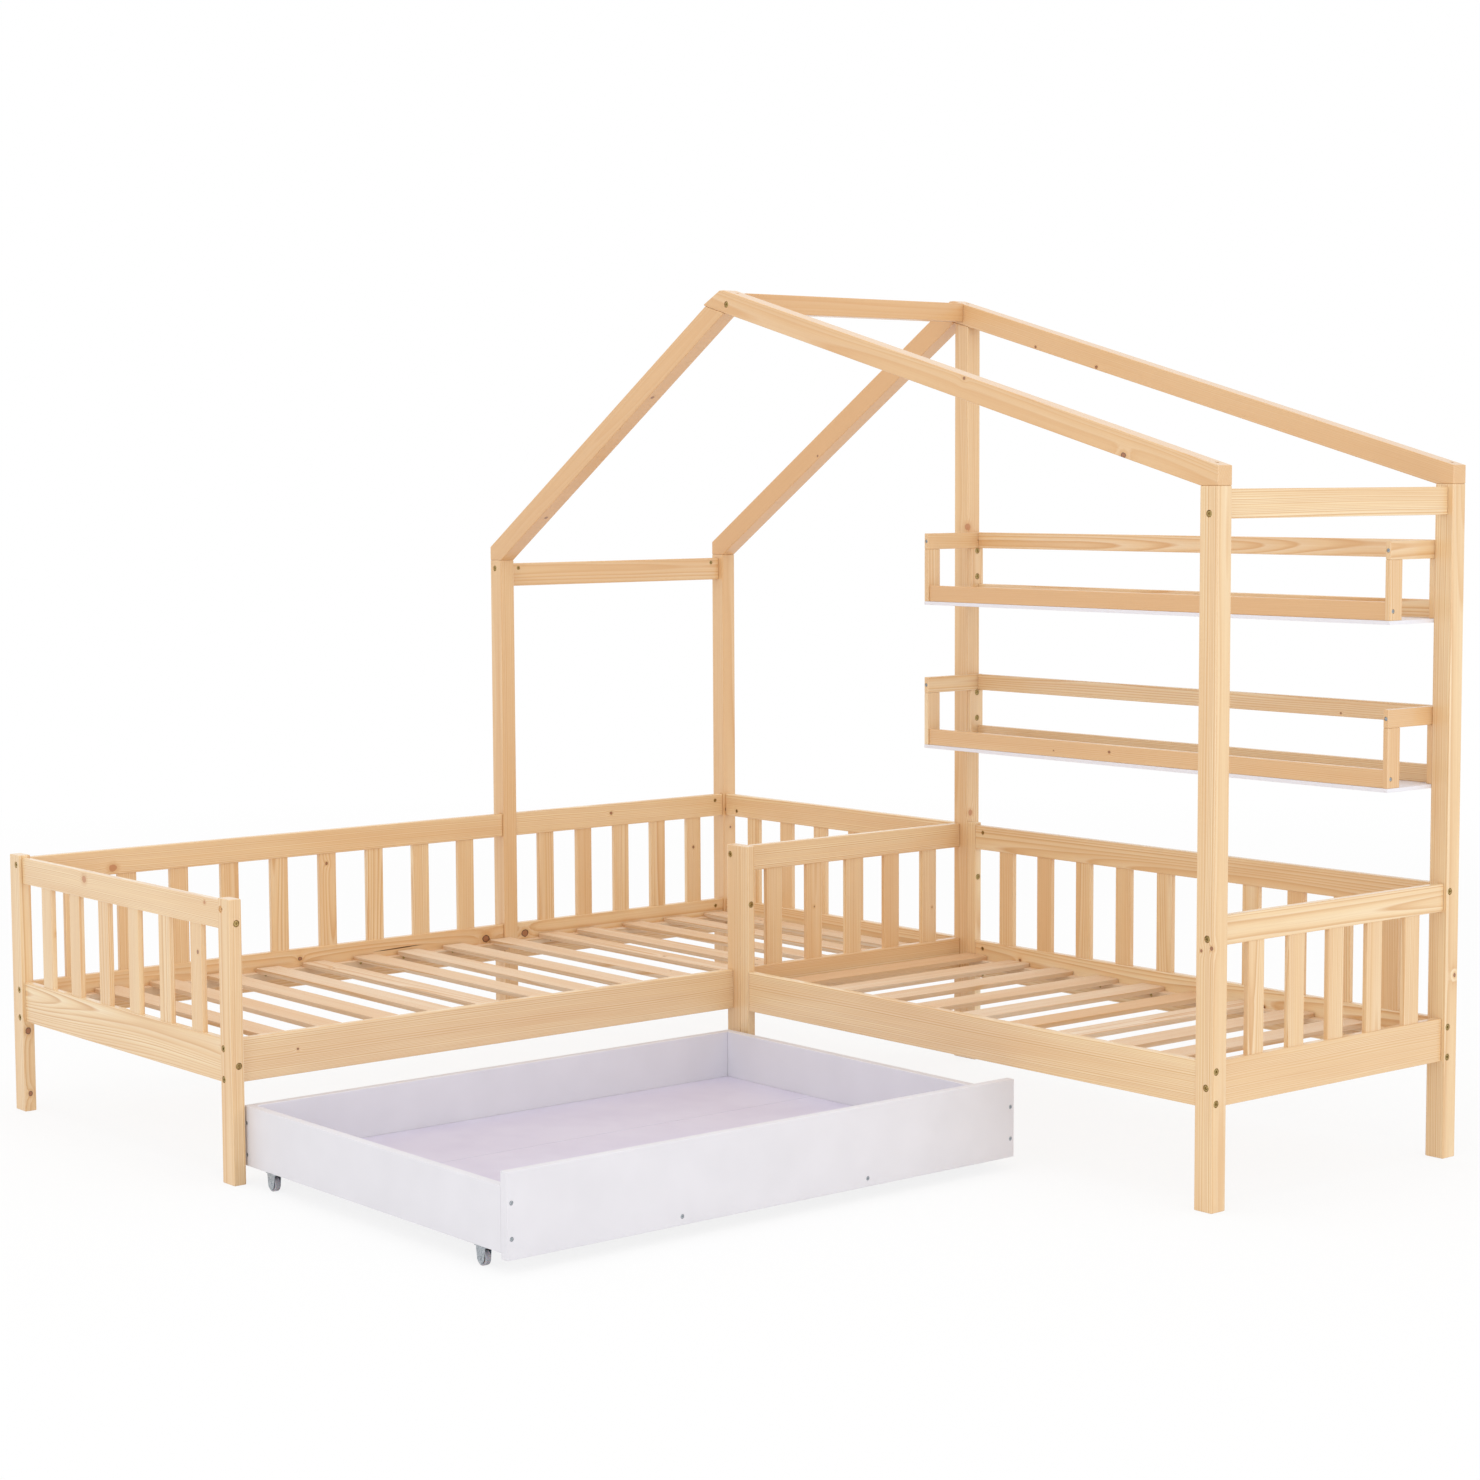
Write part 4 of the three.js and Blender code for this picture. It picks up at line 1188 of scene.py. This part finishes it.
@dataclass
class Frame:
    """Posts, battens, front rails and beams: plain timbers with bores."""

    rounding: float = 0.002
    upright: tuple[str, ...] = (
        "foot_post_left",
        "foot_post_right",
        "inner_post",
        "wall_post_front",
        "wall_post_back",
        "end_post_back",
        "end_post_front",
        "side_bed_batten_front",
        "side_bed_batten_back",
    )
    lying: tuple[tuple[str, Axis], ...] = (
        ("long_bed_front_rail", Axis.Y),
        ("side_bed_front_rail", Axis.X),
        ("ridge_beam", Axis.Y),
        ("left_eave_beam", Axis.Y),
        ("right_eave_beam", Axis.Y),
    )

    def build(self, plan: FastenerPlan) -> None:
        """Makes one piece for each timber.

        Args:
            plan: where the bores are.
        """
        for node in self.upright:
            lone_board(node, "timber", Finish.POST, Axis.Z, self.rounding, plan)
        for node, grain in self.lying:
            lone_board(node, "timber", Finish.RAIL, grain, self.rounding, plan)


@dataclass(frozen=True)
class Slope:
    """A slope of the roof: its underside starts at a post's inner edge and rises with X."""

    inner: float
    eave: float
    rise: float
    plumb: float

    def under(self, x: float) -> float:
        """Height of the rafter's underside."""
        return self.eave + (x - self.inner) * self.rise

    def over(self, x: float) -> float:
        """Height of the rafter's upper face."""
        return self.under(x) + self.plumb

    def reach(self, height: float) -> float:
        """Where the rafter's upper face has a height."""
        return self.inner + (height - self.eave - self.plumb) / self.rise


@dataclass
class Roof:
    """The four rafters, as outlines on X and Z carried along Y, and the middle post under them."""

    left_pitch: float = 32.8
    right_pitch: float = 15.25
    left_depth: float = 0.0518
    right_depth: float = 0.0487
    nose_reach: float = 0.005
    nose_height: float = 0.003
    rounding: float = 0.0016
    gap: float = 0.0003

    def __post_init__(self) -> None:
        """Reads the eaves and the ridge from the frame, and works out both slopes."""
        left_low, _ = node_span("front_left_rafter")
        right_low, right_high = node_span("front_right_rafter")
        post_low, post_high = node_span("wall_post_front")
        post_width = post_high[0] - post_low[0]
        self.left_x, self.right_x, self.ridge = left_low[0], right_high[0], right_high[2]
        left, right = math.radians(self.left_pitch), math.radians(self.right_pitch)
        inner_left, inner_right = self.left_x + post_width, self.right_x - post_width
        self.left = Slope(inner_left, left_low[2], math.tan(left), self.left_depth / math.cos(left))
        self.right = Slope(inner_right, right_low[2], -math.tan(right), self.right_depth / math.cos(right))

    def crossing(self, raised: float) -> float:
        """Where the left underside, raised by so much, meets the right underside.

        Args:
            raised: how far the left line is raised.

        Returns:
            The place on X.
        """
        left, right = self.left, self.right
        top = right.eave - left.eave - right.inner * right.rise + left.inner * left.rise
        return (top - raised) / (left.rise - right.rise)

    def right_outline(self) -> list[Span]:
        """Works out a right rafter, with its blunt nose over the left one.

        Returns:
            Its corners on X and Z.
        """
        nose = self.crossing(self.left.plumb) - self.nose_reach
        return [
            (self.right_x, self.right.eave),
            (self.right_x, self.right.over(self.right_x)),
            (self.right.reach(self.ridge), self.ridge),
            (self.left.reach(self.ridge), self.ridge),
            (nose, self.right.under(nose) + self.nose_height),
            (nose, self.right.under(nose)),
            (self.right.inner, self.right.eave),
        ]

    def left_outline(self) -> list[Span]:
        """Works out a left rafter, cut off along the right one's underside.

        Returns:
            Its corners on X and Z.
        """
        inner, outer = self.crossing(self.gap), self.crossing(self.left.plumb + self.gap)
        return [
            (self.left_x, self.left.eave),
            (self.left.inner, self.left.eave),
            (inner, self.left.under(inner)),
            (outer, self.left.over(outer)),
            (self.left_x, self.left.over(self.left_x)),
        ]

    def post_outline(self) -> list[Span]:
        """Works out the middle post, with its head on the right slope.

        Returns:
            Its corners on X and Z.
        """
        low, high = (corner[0] for corner in node_span("middle_post"))
        ends = [(x, self.right.under(x) - self.gap) for x in (high, low)]
        return [(low, 0.0), (high, 0.0), *ends]

    def build(self, plan: FastenerPlan) -> None:
        """Makes the rafters and the middle post.

        Args:
            plan: where the bores are.
        """
        left, right = (np.array([1.0, 0.0, slope.rise]) for slope in (self.left, self.right))
        for gable in ("front", "back"):
            self._carry(f"{gable}_left_rafter", self.left_outline(), left, Finish.RAIL, plan)
            self._carry(f"{gable}_right_rafter", self.right_outline(), right, Finish.RAIL, plan)
        self._carry("middle_post", self.post_outline(), unit(Axis.Z), Finish.POST, plan)

    def _carry(
        self, node: str, outline: list[Span], along: np.ndarray, finish: Finish, plan: FastenerPlan
    ) -> None:
        """Makes one timber from its outline on X and Z, carried along Y.

        Args:
            node: the node that the timber stands for.
            outline: its corners.
            along: the direction of its grain.
            finish: its finish.
            plan: where the bores are.
        """
        low, high = node_span(node)
        corners = [(z, x) for x, z in outline]
        shell = bored(rounded_prism(corners, (low[1], high[1]), Axis.Y, self.rounding), plan.bores(node))
        piece = Piece(f"{node}_timber", "frame", finish, node)
        piece.add(shell, YARD.cut(piece.name, shell[0], along / np.linalg.norm(along), unit(Axis.Y)))
        piece.make()


@dataclass
class Guard:
    """A guard: two rails and the pickets between them, evenly spaced.

    The long wall guard has a drying crack in its low rail, given by corners on Y and Z in millimetres.
    """

    node: str
    grain: Axis
    pickets: int
    top_height: float = 0.058
    low_height: float = 0.090
    picket_width: float = 0.047
    picket_thickness: float = 0.012
    tenon: float = 0.002
    rail_rounding: float = 0.0022
    picket_rounding: float = 0.0018
    cracked: str = "wall_guard_long"
    crack: tuple[Span, ...] = (
        (-1150.0, 266.0),
        (-1110.0, 265.2),
        (-1070.0, 265.8),
        (-1000.0, 269.0),
        (-1040.0, 269.8),
        (-1080.0, 269.0),
    )
    crack_depth: float = 0.014
    crack_clear: float = 0.002
    crack_rounding: float = 0.0001

    def build(self, plan: FastenerPlan) -> None:
        """Makes the guard as one piece of several boards.

        Args:
            plan: where the bores are.
        """
        low, high = node_span(self.node)
        run, line = self.grain, Axis(1 - self.grain)
        along, across = (low[run], high[run]), (low[line], high[line])
        top, foot = high[2] - self.top_height, low[2] + self.low_height
        piece = Piece(f"{self.node}_boards", "frame", Finish.RAIL, self.node)
        bores = plan.bores(self.node)
        add_board(piece, *block(run, along, across, (top, high[2])), run, self.rail_rounding, bores)
        if self.node == self.cracked:
            corners = [on_bed(0.0, y, z)[1:] for y, z in self.crack]
            depth = (high[0] - self.crack_depth, high[0] + self.crack_clear)
            bores.append(rounded_prism(corners, depth, Axis.X, self.crack_rounding))
        add_board(piece, *block(run, along, across, (low[2], foot)), run, self.rail_rounding, bores)
        width, middle, half = self.picket_width, sum(across) / 2, self.picket_thickness / 2
        gap = (along[1] - along[0] - self.pickets * width) / (self.pickets + 1)
        height = (foot - self.tenon, top + self.tenon)
        for index in range(self.pickets):
            start = along[0] + gap + index * (gap + width)
            picket = block(run, (start, start + width), (middle - half, middle + half), height)
            add_board(piece, *picket, Axis.Z, self.picket_rounding)
        piece.make()


@dataclass
class Slats:
    """The slats of both beds on their ledger strips, placed between the rails and posts round them.

    The long bed's slats lie by hand's measure, a few millimetres off the even pitch.
    """

    ledger_width: float = 0.020
    ledger_height: float = 0.020
    thickness: float = 0.011
    rounding: float = 0.0015
    end_gap: float = 0.001
    long_width: float = 0.062
    long_margin: float = 0.016
    long_shifts: tuple[int, ...] = (0, 0, 3, 9, 9, -1, 7, -5, -9, -4, 9, -9, 4, 2, 1)
    side_count: int = 10
    side_width: float = 0.069
    side_margin: float = 0.028

    def build(self, plan: FastenerPlan) -> None:
        """Makes the long bed's two bases and the side bed's one.

        Args:
            plan: where the ledgers' bores are.
        """
        room = (near_face("foot_guard", Axis.Y, -1), near_face("head_guard", Axis.Y, 1))
        row = self._row(room, len(self.long_shifts), self.long_width, self.long_margin)
        row = row + np.array(self.long_shifts) * MILLIMETRE
        wall_low, wall_high = node_span("wall_post_front")
        inner_low, inner_high = node_span("inner_post")
        span = (wall_high[0] + self.end_gap, inner_low[0] - self.end_gap)
        for half in ("front", "back"):
            node = f"long_bed_slats_{half}"
            low, high = node_span(node)
            runs = ((low[1], wall_low[1]), (low[1], inner_low[1]))
            if half == "back":
                runs = ((wall_high[1], high[1]), (inner_high[1], high[1]))
            carried = [y for y in row if runs[1][0] < y < runs[1][1]]
            self._base(node, Axis.X, runs, carried, span, self.long_width, plan)
        low, high = node_span("side_bed_slats")
        ledger = (near_face("side_bed_batten_back", Axis.X, -1), high[0])
        room = (near_face("divider_guard", Axis.X, -1), near_face("end_guard", Axis.X, 1))
        row = self._row(room, self.side_count, self.side_width, self.side_margin)
        span = (low[1] + self.end_gap, high[1] - self.end_gap)
        self._base("side_bed_slats", Axis.Y, (ledger, ledger), row, span, self.side_width, plan)

    def _row(self, room: Span, count: int, width: float, margin: float) -> np.ndarray:
        """Middles of a row of slats, evenly spaced between the margins."""
        inset = margin + width / 2
        return np.linspace(room[0] + inset, room[1] - inset, count)

    def _base(
        self,
        node: str,
        grain: Axis,
        runs: tuple[Span, Span],
        row: Sequence[float],
        span: Span,
        width: float,
        plan: FastenerPlan,
    ) -> None:
        """Makes the ledgers and the slats of one base as one piece.

        Args:
            node: the base's node.
            grain: the axis that the slats follow.
            runs: where each of the two ledgers starts and ends.
            row: the slats' middles.
            span: where each slat starts and ends.
            width: the slats' width.
            plan: where the ledgers' bores are.
        """
        low, high = node_span(node)
        piece = Piece(f"{node}_boards", "frame", Finish.SLAT, node)
        sides = ((low[grain], low[grain] + self.ledger_width), (high[grain] - self.ledger_width, high[grain]))
        height = (low[2], low[2] + self.ledger_height)
        for side, run in zip(sides, runs):
            ledger = block(grain, side, run, height)
            add_board(piece, *ledger, Axis(1 - grain), self.rounding, plan.bores(node))
        for middle in row:
            across = (middle - width / 2, middle + width / 2)
            slat = block(grain, span, across, (high[2] - self.thickness, high[2]))
            add_board(piece, *slat, grain, self.rounding)
        piece.make()


@dataclass
class Shelf:
    """A shelf: two end frames, three rails and a white panel."""

    name: str
    rail_height: float = 0.038
    stile_width: float = 0.039
    rounding: float = 0.0015
    panel_rounding: float = 0.0006
    rails: tuple[str, ...] = ("back_top_rail", "back_low_rail", "front_low_rail")

    def build(self, plan: FastenerPlan) -> None:
        """Makes the shelf's pieces.

        Args:
            plan: where the bores are.
        """
        for side in ("left", "right"):
            self._end(f"{self.name}_shelf_{side}_end", plan)
        for rail in self.rails:
            lone_board(f"{self.name}_shelf_{rail}", "board", Finish.SHELF, Axis.X, self.rounding, plan)
        lone_board(f"{self.name}_shelf_panel", "board", Finish.PANEL, Axis.X, self.panel_rounding, plan)

    def _end(self, node: str, plan: FastenerPlan) -> None:
        """Makes an end frame from a rail and two stiles.

        Args:
            node: the end's node.
            plan: where the bores are.
        """
        low, high = node_span(node)
        joint, cutters = high[2] - self.rail_height, plan.bores(node)
        piece = Piece(f"{node}_boards", "frame", Finish.SHELF, node)
        add_board(piece, np.array([*low[:2], joint]), high, Axis.Y, self.rounding, cutters)
        for start in (low[1], high[1] - self.stile_width):
            stile = block(Axis.X, (low[0], high[0]), (start, start + self.stile_width), (low[2], joint))
            add_board(piece, *stile, Axis.Z, self.rounding, cutters)
        piece.make()


@dataclass
class Drawer:
    """The drawer: painted walls and a boarded bottom on two battens."""

    boards: int = 3
    seam: float = 0.0016
    bottom_thickness: float = 0.008
    batten_width: float = 0.030
    rounding: float = 0.0016
    board_rounding: float = 0.0008
    batten_rounding: float = 0.001
    walls: tuple[tuple[str, Axis], ...] = (
        ("drawer_front", Axis.Y),
        ("drawer_left_side", Axis.X),
        ("drawer_right_side", Axis.X),
        ("drawer_back", Axis.Y),
    )

    def build(self, plan: FastenerPlan) -> None:
        """Makes the walls, the bottom boards, which show between them, and their battens.

        Args:
            plan: where the bores are.
        """
        for node, grain in self.walls:
            lone_board(node, "board", Finish.PAINT, grain, self.rounding, plan, "drawer")
        low, high = node_span("drawer_bottom")
        front_low, front_high = node_span("drawer_front")
        under, half = high[2] - self.bottom_thickness, self.seam / 2
        piece = Piece("drawer_bottom_boards", "drawer", Finish.THIN_PAINT, "drawer_bottom")
        edges = np.linspace(low[0], high[0], self.boards + 1)
        edges[0], edges[-1] = near_face("drawer_back", Axis.X, -1), front_low[0]
        left, right = near_face("drawer_left_side", Axis.Y, -1), near_face("drawer_right_side", Axis.Y, 1)
        for first, last in zip(edges, edges[1:]):
            board = block(Axis.X, (first + half, last - half), (left + half, right - half), (under, high[2]))
            add_board(piece, *board, Axis.Y, self.board_rounding)
        half = self.batten_width / 2
        for y in (front_low[1] + DRAWER_BATTENS[0], front_high[1] - DRAWER_BATTENS[1]):
            batten = block(Axis.X, (edges[0], edges[-1]), (y - half, y + half), (low[2], under))
            add_board(piece, *batten, Axis.X, self.batten_rounding)
        piece.make()


@dataclass
class Castor:
    """A castor: a bracket of pressed steel and a moulded wheel on a riveted axle."""

    corner: str
    sheet: float = 0.0015
    shoulder: float = 0.014
    foot: float = 0.011
    plate_width: float = 0.018
    wheel_gap: float = 0.0008
    axle: float = 0.002
    axle_head: float = 0.0034
    head_thickness: float = 0.001
    head_crown: float = 0.7
    head_edge: float = 0.4
    bore: float = 0.0024
    hub: float = 0.005
    rim: float = 0.003
    recess: float = 0.0015
    tread_edge: float = 0.0015
    plate_rounding: float = 0.0004
    cheek_rounding: float = 0.00035
    foot_steps: int = 13
    tread_steps: int = 5
    axle_sides: int = 20
    wheel_sides: int = 48

    def build(self) -> None:
        """Makes the bracket and the wheel."""
        low, high = node_span(f"castor_wheel_{self.corner}")
        centre, half = (low + high) / 2, (high - low) / 2
        self._bracket(centre, half[1])
        self._wheel(centre, half[2], half[1])

    def _bracket(self, centre: np.ndarray, half: float) -> None:
        """Makes the plate, the cheeks and the axle.

        Args:
            centre: the middle of the wheel.
            half: half the wheel's width.
        """
        node = f"castor_bracket_{self.corner}"
        low, high = node_span(node)
        piece = Piece(f"{node}_steel", "drawer", Finish.ZINC, node)
        x, y, z = centre
        under, side = high[2] - self.sheet, self.plate_width / 2
        plate = block(Axis.X, (low[0], high[0]), (y - side, y + side), (under, high[2]))
        add_board(piece, *plate, Axis.X, self.plate_rounding)
        sweep = np.linspace(np.pi, 2 * np.pi, self.foot_steps)
        arc = [(z + self.foot * math.sin(a), x + self.foot * math.cos(a)) for a in sweep]
        outline = [(under, x - self.shoulder), *arc, (under, x + self.shoulder)]
        inner = half + self.wheel_gap
        outer = inner + self.sheet
        for span in ((y + inner, y + outer), (y - outer, y - inner)):
            piece.add(rounded_prism(outline, span, Axis.Y, self.cheek_rounding))
        crown = outer + self.head_thickness
        rows = [
            (0.0, -crown),
            (self.axle_head * self.head_crown, -crown),
            (self.axle_head, -outer - self.head_thickness * self.head_edge),
            (self.axle_head, -outer),
            (self.axle, -outer),
        ]
        rows += [(r, -h) for r, h in rows[::-1]]
        piece.add(turned(rows, centre, unit(Axis.Y), self.axle_sides))
        piece.make()

    def _wheel(self, centre: np.ndarray, radius: float, half: float) -> None:
        """Makes the wheel: a ring profile with a rounded tread and a sunk web.

        Args:
            centre: its middle.
            radius: its radius.
            half: half its width.
        """
        edge, web = self.tread_edge, half - self.recess
        bend = np.linspace(np.pi / 2, 0, self.tread_steps)
        tread = [(radius - edge + edge * math.cos(a), edge - half - edge * math.sin(a)) for a in bend]
        inside = [(self.bore, -half), (self.hub, -half), (self.hub, -web)]
        lower = [*inside, (radius - self.rim, -web), (radius - self.rim, -half), *tread]
        rows = [*lower, *((r, -h) for r, h in lower[::-1]), lower[0]]
        node = f"castor_wheel_{self.corner}"
        piece = Piece(f"{node}_moulding", f"wheel_{self.corner}", Finish.PLASTIC, node)
        piece.add(turned(rows, centre, unit(Axis.Y), self.wheel_sides))
        piece.make()


# Studio


@dataclass
class Studio:
    """Camera, soft lamps and a pale floor."""

    lens: float = 72.165
    sensor: float = 36.0
    eye: tuple[float, float, float] = (4.9725, -3.985, 1.419)
    forward: tuple[float, float, float] = (-0.7695, 0.6326, -0.0879)
    right: tuple[float, float, float] = (0.6353, 0.7722, -0.0047)
    aim: tuple[float, float, float] = (0.0, 0.0, 0.6)
    half_floor: float = 20.0

    def build(self) -> None:
        """Makes the camera, the light and the floor."""
        self._camera()
        self._lamps()
        self._world()
        self._floor()

    def _put(self, name: str, data: bpy.types.ID, place: tuple, turn: Matrix) -> bpy.types.Object:
        """Puts a camera or a lamp in its place.

        Args:
            name: the object's name.
            data: the camera or lamp.
            place: where it stands.
            turn: how it is turned.

        Returns:
            The object.
        """
        thing = bpy.data.objects.new(name, data)
        bpy.context.scene.collection.objects.link(thing)
        thing.matrix_world = Matrix.Translation(place) @ turn.to_4x4()
        return thing

    def _camera(self) -> None:
        """Places the camera where the bed was photographed from."""
        data = bpy.data.cameras.new("camera")
        data.lens, data.sensor_width = self.lens, self.sensor
        back = -Vector(self.forward).normalized()
        up = back.cross(Vector(self.right).normalized()).normalized()
        turn = Matrix((up.cross(back), up, back)).transposed()
        bpy.context.scene.camera = self._put("camera", data, self.eye, turn)

    def _lamps(self) -> None:
        """A soft key lamp from the right, a low fill from the front and a soft top lamp."""
        lamps = [
            ("key", (6.0, 1.5, 1.4), 3.0, 38.0),
            ("fill", (2.2, -5.5, 0.8), 3.0, 32.0),
            ("top", (0.4, -0.9, 5.5), 4.0, 50.0),
        ]
        for name, place, size, power in lamps:
            data = bpy.data.lights.new(name, "AREA")
            data.shape, data.size, data.energy = "DISK", size, power
            aim = Vector(self.aim) - Vector(place)
            self._put(name, data, place, aim.to_track_quat("-Z", "Y").to_matrix())

    def _world(self) -> None:
        """An even white world, a little brighter where it is seen than where it lights."""
        world = bpy.data.worlds.new("studio")
        bpy.context.scene.world = world
        world.use_nodes = True
        tree = world.node_tree
        tree.nodes.clear()
        strength = add_node(tree, "MapRange", backdrop_share(tree), To_Min=0.9, To_Max=1.0)
        add_node(tree, "OutputWorld", add_node(tree, "Background", Color="FFFFFF", Strength=strength))

    def _floor(self) -> None:
        """A seamless white paper floor that keeps the bed's shadow.

        The shadow shows at a sixth of its strength close by, and fades out 4 to 7 m away.
        """
        half = self.half_floor
        corners = np.array([(-half, -half, 0.0), (half, -half, 0.0), (half, half, 0.0), (-half, half, 0.0)])
        floor = mesh_object("floor", corners, [[0, 1, 2, 3]])
        material, tree = new_material("paper_roll_white")
        paper = add_node(tree, "BsdfPrincipled", Base_Color="F6F6F6", Roughness=0.9)
        place = add_node(tree, "TexCoord").outputs["Object"]
        away = add_node(tree, "VectorMath", place, operation="LENGTH").outputs["Value"]
        fade = add_node(tree, "MapRange", away, From_Min=4.0, From_Max=7.0, To_Min=0.84)
        share = add_node(tree, "Math", backdrop_share(tree), fade, operation="MULTIPLY")
        white = add_node(tree, "Emission", Color="FFFFFF", Strength=1.0)
        add_node(tree, "OutputMaterial", add_node(tree, "MixShader", share, paper, white))
        floor.data.materials.append(material)


def main() -> None:
    """Builds the studio and every sub-assembly in order."""
    logging.basicConfig(level=logging.INFO, format="%(name)s %(message)s")
    bpy.context.scene.view_settings.view_transform = "Standard"
    Studio().build()
    plan = FastenerPlan()
    Frame().build(plan)
    Roof().build(plan)
    for node, (grain, pickets) in GUARDS.items():
        Guard(node, grain, pickets).build(plan)
    Slats().build(plan)
    for name in ("upper", "lower"):
        Shelf(name).build(plan)
    Drawer().build(plan)
    for corner in ("back_left", "front_left", "back_right", "front_right"):
        Castor(corner).build()
    plan.build()


if __name__ == "__main__":
    main()
